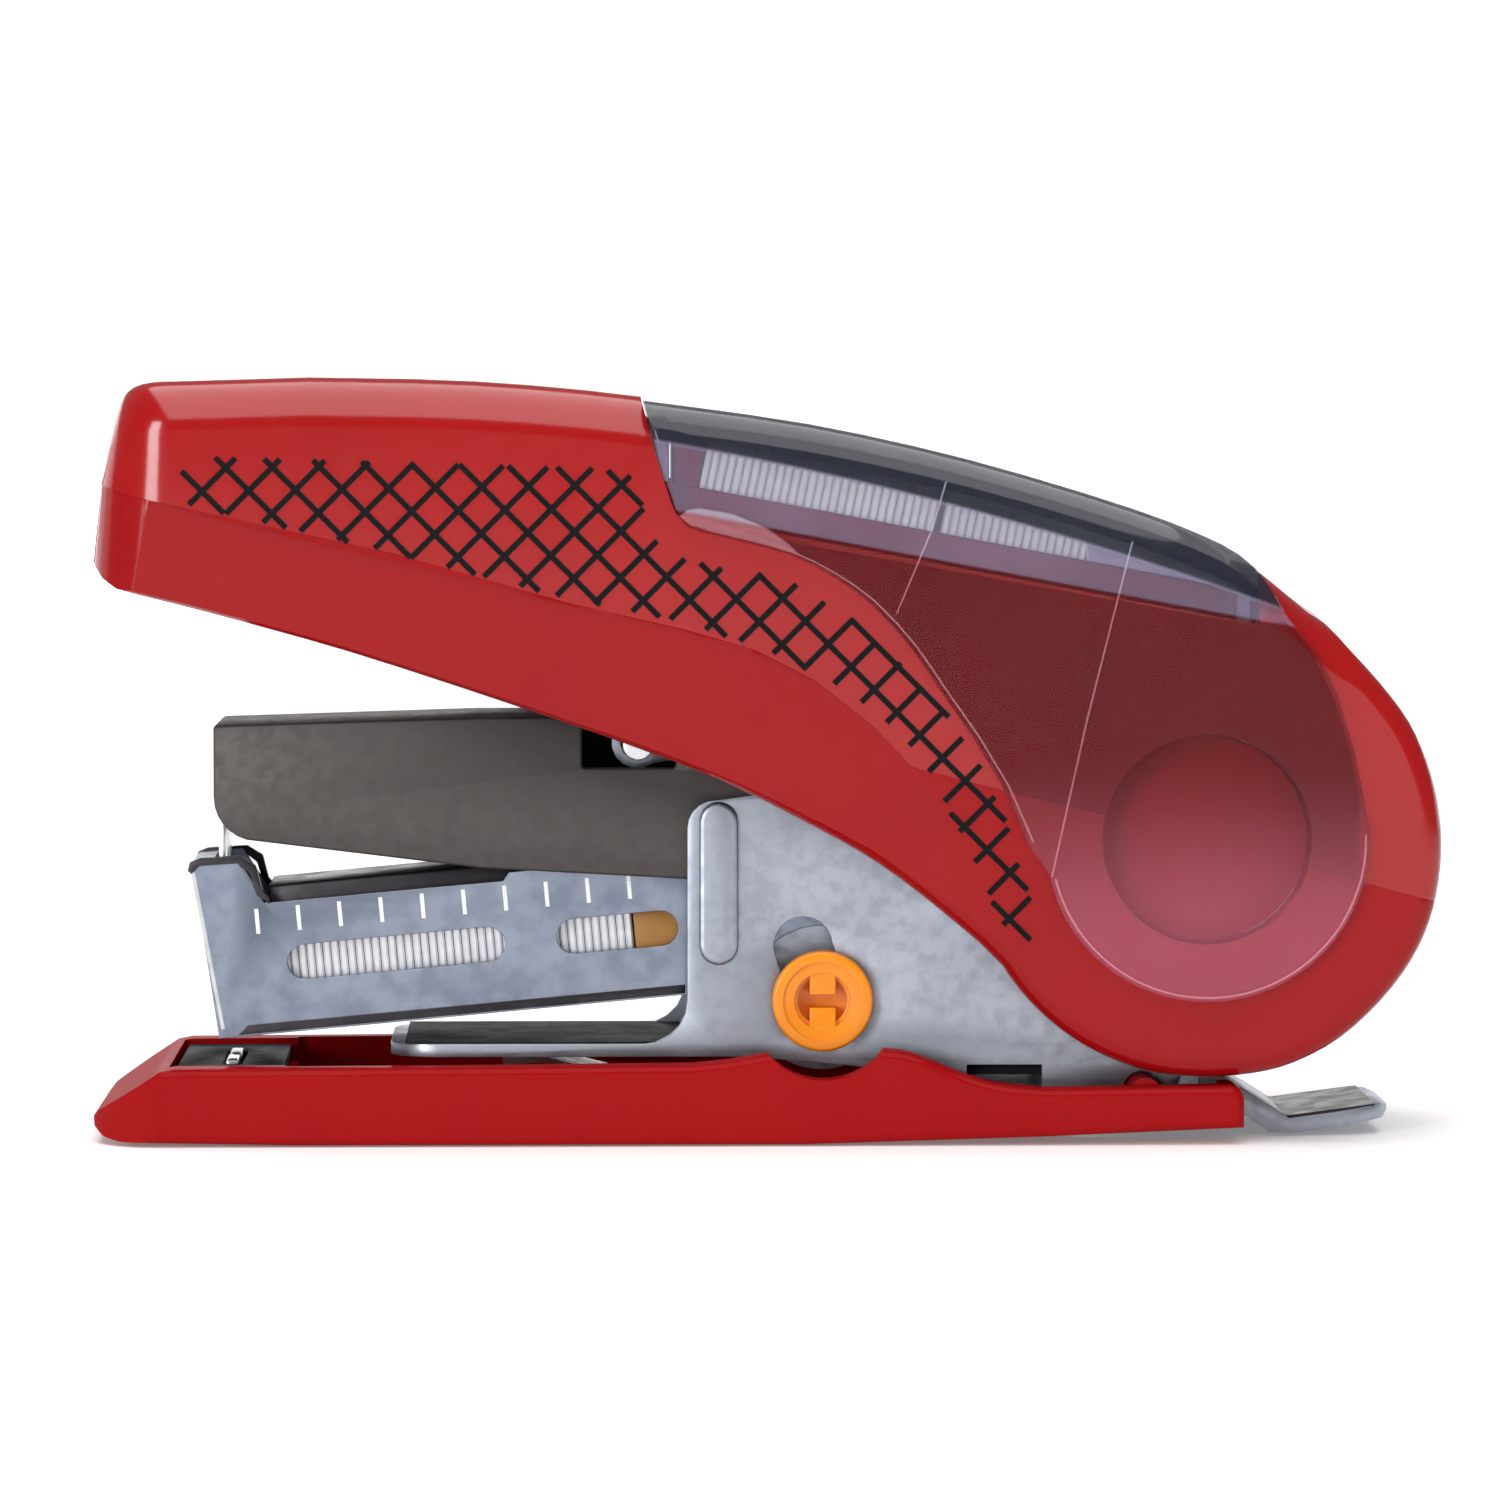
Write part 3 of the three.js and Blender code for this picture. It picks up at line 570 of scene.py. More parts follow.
class Recipe:
    """The nodes of one material."""

    def __init__(self, name: str) -> None:
        """Start an empty material of that name."""
        self.material = bpy.data.materials.new(name)
        self.material.use_nodes = True
        self.tree = self.material.node_tree
        self.tree.nodes.clear()

    def node(
        self,
        kind: str,
        settings: dict[str, object],
        sockets: dict[Union[int, str], Entry],
        output: Union[int, str] = 0,
    ) -> Signal:
        """Add one node.

        Args:
            kind: The node's type.
            settings: Its settings, set before its sockets; stops are a ramp's (place, colour) pairs.
            sockets: Values or links of its inputs.
            output: The output that is wanted.

        Returns:
            The wanted output.
        """
        node = self.tree.nodes.new(kind)
        for key, value in settings.items():
            if key != "stops":
                setattr(node, key, value)
                continue
            ramp = node.color_ramp
            while len(ramp.elements) < len(value):
                ramp.elements.new(0.5)
            for element, (place, colour) in zip(ramp.elements, value):
                element.position, element.color = place, colour
        for key, value in sockets.items():
            if isinstance(value, Signal):
                self.tree.links.new(value.socket, node.inputs[key])
            else:
                node.inputs[key].default_value = value
        return Signal(self, node.outputs[output])

    def place(self, stretch: Vector = Vector((1, 1, 1)), turn: float = 0) -> Signal:
        """Places on the piece in millimetres, stretched, and turned about Y by an angle."""
        spots = self.node("ShaderNodeTexCoord", {}, {}, "Object")
        scale = stretch / MM
        return self.node(
            "ShaderNodeMapping", {}, {"Vector": spots, "Scale": scale, "Rotation": (0, turn, 0)}
        )

    def noise(self, scale: float, detail: float = 3, spots: Union[Signal, None] = None) -> Signal:
        """Cloudy values from 0 to 1, with scale clouds to the millimetre."""
        where = spots or self.place()
        return self.node(
            "ShaderNodeTexNoise", {}, {"Vector": where, "Scale": scale, "Detail": detail}
        )

    def step(self, value: Entry, low: float, high: float) -> Signal:
        """A soft step from 0 at low to 1 at high."""
        return self.node(
            "ShaderNodeMapRange",
            {"interpolation_type": "SMOOTHSTEP"},
            {"Value": value, "From Min": low, "From Max": high},
        )

    def blend(self, share: Entry, first: Entry, second: Entry) -> Signal:
        """A colour between two, by a share from 0 to 1."""
        return self.node("ShaderNodeMix", {"data_type": "RGBA"}, {0: share, 6: first, 7: second}, 2)

    def bump(self, height: Signal, depth: float) -> Signal:
        """A surface raised by a height from 0 to 1 times a depth in millimetres."""
        return self.node("ShaderNodeBump", {}, {"Height": height, "Distance": depth * MM})

    def surface(self, sockets: dict[Union[int, str], Entry]) -> bpy.types.Material:
        """Close the material with one main shader.

        Args:
            sockets: Values or links of the shader's inputs.

        Returns:
            The material.
        """
        shader = self.node("ShaderNodeBsdfPrincipled", {}, sockets)
        end = self.tree.nodes.new("ShaderNodeOutputMaterial")
        self.tree.links.new(shader.socket, end.inputs["Surface"])
        return self.material


@dataclass(frozen=True)
class Plastic:
    """Moulded plastic with a slight orange-peel skin and faint handling marks."""

    name: str
    colour: Colour
    shade: Colour
    roughness: float = 0.16
    coat: float = 0.0
    sheen: float = 0.5
    peel: float = 0.004

    def made(self) -> bpy.types.Material:
        """The material of this finish."""
        recipe = Recipe(self.name)
        clouds = recipe.noise(0.11, 4)
        skin = recipe.noise(1.6, 2)
        marks = recipe.step(recipe.noise(0.45, 6), 0.56, 0.74)
        colour = recipe.blend(recipe.step(clouds, 0.35, 0.7) * 0.5, self.colour, self.shade)
        return recipe.surface({
            "Base Color": colour,
            "Roughness": self.roughness + marks * 0.07 + skin * 0.03,
            "Coat Weight": self.coat,
            "Coat Roughness": 0.05,
            "IOR": 1.49,
            "Specular IOR Level": self.sheen,
            "Normal": recipe.bump(skin, self.peel),
        })


@dataclass(frozen=True)
class Steel:
    """Rolled sheet steel with drawn grain along the sheet and cloudy plating."""

    name: str
    colour: Colour
    shade: Colour
    roughness: float = 0.3
    metallic: float = 0.95
    clouds: float = 0.5
    cloud_size: float = 0.6
    grain: float = 0.004
    turn: float = 0.0
    sheen: float = 0.5

    def made(self) -> bpy.types.Material:
        """The material of this finish."""
        recipe = Recipe(self.name)
        plating = recipe.step(recipe.noise(self.cloud_size, 7), 0.36, 0.66)
        patches = recipe.step(recipe.noise(0.16, 3), 0.4, 0.62)
        drawn_grain = recipe.noise(1.0, 4, recipe.place(Vector((0.12, 2.5, 3.5)), self.turn))
        share = plating * self.clouds + patches * self.clouds * 0.5
        return recipe.surface({
            "Base Color": recipe.blend(share, self.colour, self.shade),
            "Metallic": self.metallic,
            "Specular IOR Level": self.sheen,
            "Roughness": self.roughness + plating * 0.1 + drawn_grain * 0.1,
            "Normal": recipe.bump(drawn_grain + plating * 0.3, self.grain),
        })


@dataclass(frozen=True)
class Ink:
    """Thin printed ink with a dry, slightly grainy face."""

    name: str
    colour: Colour
    fade: Colour
    roughness: float = 0.45

    def made(self) -> bpy.types.Material:
        """The material of this finish."""
        recipe = Recipe(self.name)
        grain = recipe.noise(6.0, 3)
        return recipe.surface({
            "Base Color": recipe.blend(recipe.step(grain, 0.5, 0.75), self.colour, self.fade),
            "Roughness": self.roughness + grain * 0.2,
            "Specular IOR Level": 0.15,
            "Normal": recipe.bump(grain, 0.01),
        })


@dataclass(frozen=True)
class ClearPlastic:
    """Clear tinted plastic: milky at its disc, clear over the staples, smoky along its roof."""

    name: str
    disc: Colour
    wall: Colour
    window: Colour
    smoke: Colour
    band: Point = (41.1, -0.208)
    sill: Point = (37.2, -0.189)

    def made(self) -> bpy.types.Material:
        """The material of this finish."""
        recipe = Recipe(self.name)
        spots = recipe.place()
        x = recipe.node("ShaderNodeSeparateXYZ", {}, {"Vector": spots}, "X")
        z = recipe.node("ShaderNodeSeparateXYZ", {}, {"Vector": spots}, "Z")
        smoky = recipe.step(z - x * self.band[1] + x * x * 0.0026, self.band[0] - 0.2, self.band[0] + 0.2)
        over_sill = recipe.step(z - x * self.sill[1], self.sill[0] - 0.1, self.sill[0] + 0.1)
        upper = recipe.step(z, 12.0, 24.0)
        haze = recipe.step(recipe.noise(0.2, 4), 0.35, 0.7)
        # Above the disc the tint turns dark maroon: partly the cover's own darker tint, partly painted shade
        # of the store's inner walls seen through it.
        tint = recipe.blend(upper, self.disc, self.wall)
        tint = recipe.blend(over_sill, tint, self.window)
        alpha = 0.3 - upper * 0.1 + haze * 0.04 - over_sill * 0.06
        return recipe.surface({
            "Base Color": recipe.blend(smoky, tint, self.smoke),
            "Roughness": 0.06 + haze * 0.05,
            "Alpha": alpha + smoky * 0.66,
            "IOR": 1.5,
            "Specular IOR Level": 0.4,
            "Coat Weight": 0.15,
            "Coat Roughness": 0.03,
            "Normal": recipe.bump(recipe.noise(0.8, 2), 0.002),
        })


RED = Plastic("red_plastic_gloss", tone(154, 8, 10), tone(146, 7, 9), coat=0.25, sheen=0.4)
LOWER_RED = Plastic("red_plastic_lower", tone(147, 10, 14), tone(139, 9, 12), sheen=0.22)
LINER = Plastic("store_liner_plastic", tone(160, 150, 178), tone(146, 136, 166), roughness=0.25)
BASE_RED = Plastic("base_red_gloss", tone(153, 16, 19), tone(145, 14, 17), coat=0.12, sheen=0.0)
# Dark red of the tray and the slab; on the side panels the same colour is painted shade under the cover.
DARK_RED = Plastic("tray_red_plastic_and_painted_shade", tone(110, 12, 15), tone(98, 10, 13), roughness=0.3, sheen=0.06)
ORANGE = Plastic("pin_orange_plastic", tone(240, 142, 12), tone(228, 128, 8), roughness=0.28)
OCHRE = Plastic("pusher_ochre_plastic", tone(168, 116, 44), tone(150, 100, 36), roughness=0.34)
ZINC = Steel("zinc_sheet", tone(168, 173, 184), tone(150, 156, 168), 0.32, cloud_size=1.3)
MAGAZINE_ZINC = Steel(
    "magazine_sheet", tone(152, 160, 176), tone(122, 130, 148), 0.27, turn=JAW_TILT, clouds=0.6
)
# Bright steel of the wires, pins and fins; the same colour is a painted highlight down the magazine's nose
# bend.
BRIGHT = Steel("bright_steel_wire_and_painted_glint", tone(214, 214, 216), tone(180, 180, 184), 0.18, clouds=0.3)
# Blackened steel of the anvil; the same colour is painted shade on the notch plate and a painted dark
# reflection on the frame floor.
ANVIL_AND_SHADE = Steel("blackened_anvil_steel_and_painted_shade", tone(36, 36, 40), tone(22, 22, 26), 0.5, 0.0, sheen=0.12)
# Dark tempered steel of the rail, strap and nose lip; the same colour is painted shade along the magazine's
# bottom bends and a painted dark reflection on the tongue.
DARK = Steel("dark_tempered_steel_and_painted_shade", tone(66, 64, 67), tone(48, 46, 49), 0.3, 0.85)
ARM = Steel(
    "satin_arm_steel", tone(77, 73, 71), tone(68, 64, 62), 0.4, 0.55, 0.35, 1.4, 0.002
)
STAPLE = Steel("staple_steel", tone(232, 232, 236), tone(206, 208, 214), 0.3, 0.8, 0.35, 1.2)
# The second colour, the dark maroon wall tint, is partly painted shade of the store's inner walls.
CLEAR = ClearPlastic(
    "smoky_clear_plastic", tone(184, 90, 112), tone(92, 22, 30), tone(164, 156, 186), tone(34, 38, 50)
)
# A pale clear finish for thin strips on the cover: painted highlights along its edges.
EDGE_GLINT = ClearPlastic(
    "clear_plastic_edge_glint", tone(232, 160, 172), tone(222, 150, 160), tone(236, 226, 244), tone(130, 130, 150)
)
BLACK_INK = Ink("grip_print_ink", tone(6, 4, 6), tone(26, 14, 18), 0.5)
WHITE_INK = Ink("scale_print_ink", tone(244, 244, 244), tone(214, 216, 220))

Finish = Union[Plastic, Steel, Ink, ClearPlastic]
made_finishes: dict[str, bpy.types.Material] = {}


def dressed(piece: Object, finish: Finish) -> Object:
    """Give a piece one finish all over."""
    if finish.name not in made_finishes:
        made_finishes[finish.name] = finish.made()
    piece.data.materials.clear()
    piece.data.materials.append(made_finishes[finish.name])
    return piece


@dataclass
class SubAssembly:
    """Pieces that are built and dressed together."""

    frame: dict
    body: str = ""

    def seat(
        self, piece: Object, slot: Slot, finish: Finish, *nodes: str, body: str = ""
    ) -> Object:
        """Dress a new piece, hang it on a body and let it stand for frame nodes.

        Args:
            piece: The new piece.
            slot: Its finish slot in the record; not used.
            finish: Its finish.
            nodes: The frame nodes it stands for.
            body: The body it rides on, if not the sub-assembly's own.

        Returns:
            The piece.
        """
        dressed(piece, finish)
        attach(piece, body or self.body)
        if nodes:
            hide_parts(*nodes)
        log.info("%s: %d faces, stands for %s", piece.name, len(piece.data.polygons), nodes)
        return piece

    def refined(self, name: str, node: str, edge: float = 0.1, angle: float = 30) -> Object:
        """A copy of a frame node with merged corners and broken edges.

        Args:
            name: Name of the copy.
            node: The frame node.
            edge: Radius that its edges are broken by.
            angle: Edges steeper than this many degrees are broken.

        Returns:
            The copy.
        """
        select_only(self.frame["nodes"][node])
        bpy.ops.object.duplicate()
        piece = bpy.context.object
        piece.name = piece.data.name = name
        edit(piece)
        bpy.ops.mesh.remove_doubles(threshold=2e-6)
        bpy.ops.mesh.dissolve_limited(angle_limit=math.radians(0.5))
        leave()
        if edge:
            edges_broken(piece, edge, angle)
        return smooth(piece)

    def keep(self, finish: Finish, *nodes: str) -> None:
        """Leave frame nodes as they are and give them a finish."""
        for node in nodes:
            dressed(self.frame["nodes"][node], finish)
            log.info("%s: kept, %s", node, finish.name)


# ---- Base ----------------------------------------------------------------------------------


@dataclass
class Base(SubAssembly):
    """The red base shell with its anvil table, clincher and lift spring."""

    body: str = "base"
    half: float = 11.5
    inner: float = 9.7
    hump: Sequence[Point] = (
        (-5, 4.85), (-2.6, 5.1), (0.4, 5.6), (4, 5.8), (7.5, 5.65), (9.4, 5.05), (11.1, 4.35),
        (13.4, 3.65), (16.3, 3.35),
    )

    def build(self) -> None:
        """Build and dress the base's pieces."""
        outline = [
            (-29, 0), (-39.6, 0.2), (-40.6, 0.42), (-41.2, 0.95), (-41.25, 1.5), (-40.9, 1.95),
            (-37.1, 4.45), (-36.2, 4.62), (-20, 4.72), *through(self.hump, 3), (27.6, 3.5), (28.2, 3.3),
            (28.4, 2.8), (28.4, 0.95), (16, 0.42), (2, 0),
        ]
        shell = rims_rounded(plate("base_casing", outline, -self.half, self.half), self.half, 0.5, 4)
        corner = [*arc((-36.6, 6.7), 4.8, 90, 172, 8), *arc((-36.6, -6.7), 4.8, 188, 270, 8)]
        plan = [*corner, (27.4, -12), (28.6, -11), (28.6, 11), (27.4, 12)]
        combined(shell, "INTERSECT", plate("base_plan", plan, -1, 8, View.PLAN))
        combined(
            shell,
            "DIFFERENCE",
            block("pocket", (-36.6, -29.4), (-8.95, 8.95), (3.2, 20)),
            block("trough", (-29.5, 27), (-self.inner, self.inner), (1.3, 20)),
            block("opening", (18, 27), (-7.55, 7.55), (-1, 20)),
            block("tail_gap", (26, 30), (-7.35, 7.35), (-1, 20)),
            block("wing_slot", (-33.65, -32.45), (-4.25, 4.25), (1.3, 20)),
            round_bar("cap_notch", JAW_PIN, 4.5, -13, 13),
        )
        pin = round_bar("trunnion", (22.5, 2.9), 1, -10.2, -6.55)
        far_pin = round_bar("trunnion_far", (22.5, 2.9), 1, 6.55, 10.2)
        combined(shell, "UNION", pin, far_pin)
        evened(smooth(edges_broken(shell, 0.12, 40), 32))
        self.seat(shell, Slot.RED, BASE_RED, "base_shell")
        self.seat(self.refined("anvil_plate", "anvil_table", 0.15), Slot.DARK, ANVIL_AND_SHADE, "anvil_table")
        wings = self.refined("clincher_fins", "clincher_wings", 0.08)
        self.seat(wings, Slot.BRIGHT, BRIGHT, "clincher_wings", body="clincher")
        self.keep(BRIGHT, "frame_lift_spring")


# ---- Frame ---------------------------------------------------------------------------------


@dataclass
class Frame(SubAssembly):
    """The plated channel that carries the jaw, with the orange jaw pin."""

    body: str = "frame"
    pin: Point = JAW_PIN

    def build(self) -> None:
        """Build and dress the frame's pieces."""
        channel = self.refined("frame_sheet", "frame_channel", 0.12)
        combined(channel, "DIFFERENCE", block("port", (11.8, 16.4), (-9, 9), (3.1, 4.45)))
        outline = [*arc((-3.3, 11.75), 1.2, 180, 360, 14), *arc((-3.3, 19.3), 1.2, 0, 180, 14)]
        rib = plate("rib", outline, -7.72, -7.2)
        edges_rounded(rib, lambda a, b: a.y < -7.7 and b.y < -7.7, 0.34, 4)
        smooth(combined(channel, "UNION", both_sides(rib)))
        self.seat(channel, Slot.ZINC, ZINC, "frame_channel")
        self.build_pin()
        bar = edges_broken(block("port_bar", (11.2, 17.0), (-6.4, 6.4), (3.75, 4.35)), 0.15)
        # A thin black strip over the frame's floor plate: a painted dark reflection, joined below with the
        # port bar.
        floor_reflection = block("floor_dark_reflection", (-22.4, -3), (-7.0, 7.0), (5.76, 5.86))
        # A dark strip on top of the tail tongue: a painted dark reflection.
        spoon = [(30.6, 1.18), (31.7, 1.03), (36.9, 1.73), (36.9, 1.84), (31.6, 1.14), (30.6, 1.3)]
        pad = plate("tongue_dark_reflection", spoon, -5.7, 5.7)
        self.seat(smooth(joined("floor_dark_reflection", [bar, floor_reflection])), Slot.DARK, ANVIL_AND_SHADE)
        self.seat(smooth(pad), Slot.DARK, DARK)

    def build_pin(self) -> None:
        """The hollow pin with a raised rim and two tongues in each cap."""
        x, z = self.pin
        cap = round_bar("pin_cap", self.pin, 3.06, -8.3, -7.45)
        edges_rounded(cap, lambda a, b: a.y < -8.2 and b.y < -8.2, 0.22, 3)
        combined(cap, "DIFFERENCE", round_bar("dish", self.pin, 2.4, -9, -8.12))
        combined(cap, "UNION", round_bar("shaft", self.pin, 1.75, -7.6, -0.5))
        combined(cap, "DIFFERENCE", round_bar("eye", self.pin, 1.72, -9, -7.62))
        combined(cap, "DIFFERENCE", round_bar("bore", self.pin, 1.5, -9, -6.5))
        for side in (-1, 1):
            reach = sorted((z + side * 0.42, z + side * 1.9))
            combined(cap, "UNION", block("tongue", (x - 0.78, x + 0.78), (-8.05, -6.6), tuple(reach)))
        edges_broken(cap, 0.07, 40)
        pin = both_sides(cap)
        pin.name = pin.data.name = "jaw_pin_orange"
        self.seat(smooth(pin), Slot.ORANGE, ORANGE, "jaw_pin", body="magazine")


# ---- Magazine ------------------------------------------------------------------------------


def staple_row(name: str, count: int, height: float, middle: float) -> Object:
    """A glued row of staples that starts at the origin and runs along X.

    Args:
        name: Name of the row.
        count: Number of staples.
        height: Height from the feet to the crown.
        middle: Where the row's middle lies along Y.

    Returns:
        The row.
    """
    half, wire, pitch, shoulder = 4.25, 0.5, 0.5, 0.35
    near, far = middle - half, middle + half
    outline = [
        (near, 0), (near, height - shoulder), (near + shoulder, height), (far - shoulder, height),
        (far, height - shoulder), (far, 0), (far - wire, 0), (far - wire, height - wire),
        (near + wire, height - wire), (near + wire, 0),
    ]
    row = plate(name, outline, 0.02, pitch - 0.02, View.FRONT)

    def outer(a: Vector, b: Vector) -> bool:
        """Whether an edge runs round the outside of one staple."""
        return abs(a.x - b.x) < 1e-3 and max(abs(a.y - middle), abs(b.y - middle)) > half - 0.4

    edges_rounded(row, outer, 0.11, 1)
    finished(
        row,
        "ARRAY",
        count=count,
        use_relative_offset=False,
        use_constant_offset=True,
        constant_offset_displace=(pitch * MM, 0, 0),
    )
    return smooth(row, 20)


@dataclass
class Magazine(SubAssembly):
    """The jaw: magazine channel, rail, staples, pusher and count scale. Drawn level on the axle."""

    body: str = "magazine"
    strip: Point = (-59.0, -35.2)
    scale_first: float = -57.75
    scale_pitch: float = 2.53
    marks: int = 10

    def in_jaw(self, piece: Object) -> Object:
        """Take a piece from the jaw's own level place to its place in the stapler."""
        return moved(piece, -JAW_TILT, (0, 0), AXLE)

    def build(self) -> None:
        """Build and dress the jaw's pieces."""
        channel = self.refined("jaw_channel", "magazine_channel", 0)
        back = Matrix.Rotation(JAW_TILT, 4, "Y") @ Matrix.Translation(-View.SIDE.place(AXLE, 0) / MM)
        lowest = min((back @ (vertex.co / MM)).z for vertex in channel.data.vertices)

        def at_bend(a: Vector, b: Vector) -> bool:
            """Whether an edge lies at the channel's lowest outer corners."""
            return all(abs(end.y) > 5.15 and (back @ end).z < lowest + 0.05 for end in (a, b))

        edges_rounded(channel, at_bend, 0.62, 5)
        smooth(edges_broken(channel, 0.14, 40))
        self.seat(channel, Slot.ZINC, MAGAZINE_ZINC, "magazine_channel")
        boss = round_bar("pin_boss", JAW_PIN, 4.4, -5.38, -5.22)
        combined(boss, "DIFFERENCE", round_bar("boss_hole", JAW_PIN, 1.9, -9, 9))
        self.seat(smooth(both_sides(boss)), Slot.ZINC, ZINC)
        self.seat(self.refined("jaw_rail", "magazine_rail", 0.12), Slot.DARK, DARK, "magazine_rail")
        strap = self.refined("hold_down_strap", "staple_hold_down", 0.2)
        self.seat(strap, Slot.DARK, DARK, "staple_hold_down")
        shoe = self.refined("pusher_block", "pusher_shoe", 0.2)
        self.seat(shoe, Slot.OCHRE, OCHRE, "pusher_shoe", body="pusher")
        self.seat(self.refined("guide_rod", "pusher_guide", 0.05), Slot.BRIGHT, BRIGHT, "pusher_guide")
        start, stop = self.strip
        row = staple_row("loaded_staples", round((stop - start) * 2), 4.95, 0)
        row = moved(row, 0, (0, 0), (start, -5.95))
        self.seat(self.in_jaw(row), Slot.STAPLE, STAPLE, "staple_strip")
        spring = coil("pusher_coil", Vector((-29.1, 0, 0.2)), 1.1, 0.25, 12.6, 14)
        self.seat(self.in_jaw(spring), Slot.BRIGHT, BRIGHT, "pusher_spring")
        lip = [
            (-35.64, 16.2), (-35.52, 16.7), (-34.91, 16.95), (-32.47, 17.1), (-31.49, 16.5), (-31.13, 15.1),
            (-30.64, 14.55), (-30.64, 14.2), (-31.43, 14.7), (-31.86, 16.05), (-32.59, 16.65), (-34.91, 16.5),
            (-35.4, 16.0),
        ]
        lip_and_bend_shade = both_sides(plate("nose_lip_and_bend_shade", lip, -5.32, -4.5))
        # The bend shade is a thin dark strip along the bottom bend of each wall: painted shade, joined to the
        # nose lip.
        shade = [(-32.6, 6.14), (-5.3, 8.66), (-5.3, 9.2), (-32, 6.75)]
        lip_and_bend_shade = joined("nose_lip_and_bend_shade", [lip_and_bend_shade, both_sides(plate("bend_shade", shade, -5.25, -5.1))])
        self.seat(smooth(edges_broken(lip_and_bend_shade, 0.05)), Slot.DARK, DARK)
        # A bright strip down the front bend of the nose: a painted highlight.
        glint = [(-35.45, 16.1), (-35.2, 16.1), (-33.4, 6.5), (-33.62, 6.5)]
        self.seat(both_sides(plate("nose_bend_glint", glint, -5.24, -5.1)), Slot.BRIGHT, BRIGHT)
        self.build_scale()

    def build_scale(self) -> None:
        """The printed count scale on both walls."""
        strokes = []
        for i in range(self.marks):
            x = self.scale_first + i * self.scale_pitch
            strokes.append(block("stroke", (x - 0.12, x + 0.12), (-5.235, -5.15), (-0.72, 0.8)))
        scale = both_sides(joined("count_scale", strokes))
        self.seat(self.in_jaw(scale), Slot.ZINC, WHITE_INK)


# ---- Driver arm, lever and springs ---------------------------------------------------------


@dataclass
class Drive(SubAssembly):
    """The arm with its blade, and the light-effort lever with its bracket, axle and springs."""

    body: str = "driver"

    def build(self) -> None:
        """Build and dress the drive's pieces."""
        arm = self.refined("arm_channel", "driver_arm", 0.2)
        self.seat(arm, Slot.ARM, ARM, "driver_arm")
        # A thin dark plate on the arm's far wall: painted shade seen through the notch.
        shade = block("notch_shade", (-12.3, -5.0), (5.0, 5.3), (21.9, 25.2))
        self.seat(shade, Slot.DARK, ANVIL_AND_SHADE)
        self.seat(self.refined("blade_leaf", "driver_blade", 0.06), Slot.BRIGHT, BRIGHT, "driver_blade")
        lever = self.refined("lever_plates", "power_lever", 0.1)
        self.seat(lever, Slot.ZINC, ZINC, "power_lever", body="lever")
        bracket = self.refined("bracket_plates", "lever_bracket", 0.1)
        self.seat(bracket, Slot.ZINC, ZINC, "lever_bracket", body="carrier")
        for name, node, body in (
            ("axle_bar", "rear_axle", "carrier"),
            ("fulcrum_bar", "fulcrum_pin", "carrier"),
            ("lever_roller_wheel", "lever_roller", "lever"),
            ("lever_cross_bar", "lever_cross_pin", "lever"),
        ):
            self.seat(self.refined(name, node, 0.12), Slot.BRIGHT, BRIGHT, node, body=body)
        self.keep(BRIGHT, "return_spring")


# ---- Handle --------------------------------------------------------------------------------

TOP_LINE = [
    (-28, 46.34), (-18, 46.1), (-8.2, 45.2), (2, 43.55), (11.7, 41.4), (21.6, 38.45), (29, 34.95),
]
COVER_FOOT = [
    (12, 24.5), (9.9, 27.5), (8.1, 30.1), (5.7, 32.7), (3.3, 34.4), (0.9, 35.6), (-2, 36.4), (-4.5, 37.0),
]
SILL = (37.85, -0.189)
TRAY_LEVEL = (38.15, -0.214)


def level_at(x: float, level: Point) -> float:
    """Height of a sloping level of the store at x."""
    return level[0] + level[1] * (x + 5)


def shoulder_section(half: float, corner: float, crown: float, deep: float) -> list[Point]:
    """Half of a crowned section with round shoulders, from the middle out and down."""
    edge = half - corner
    top = [(edge * share, crown * share**2) for share in (0, 0.35, 0.7)]
    round_part = arc((edge, -crown - corner), corner, 88, 0, 8)
    return [*top, *((y, -drop) for y, drop in round_part), (half, deep)]


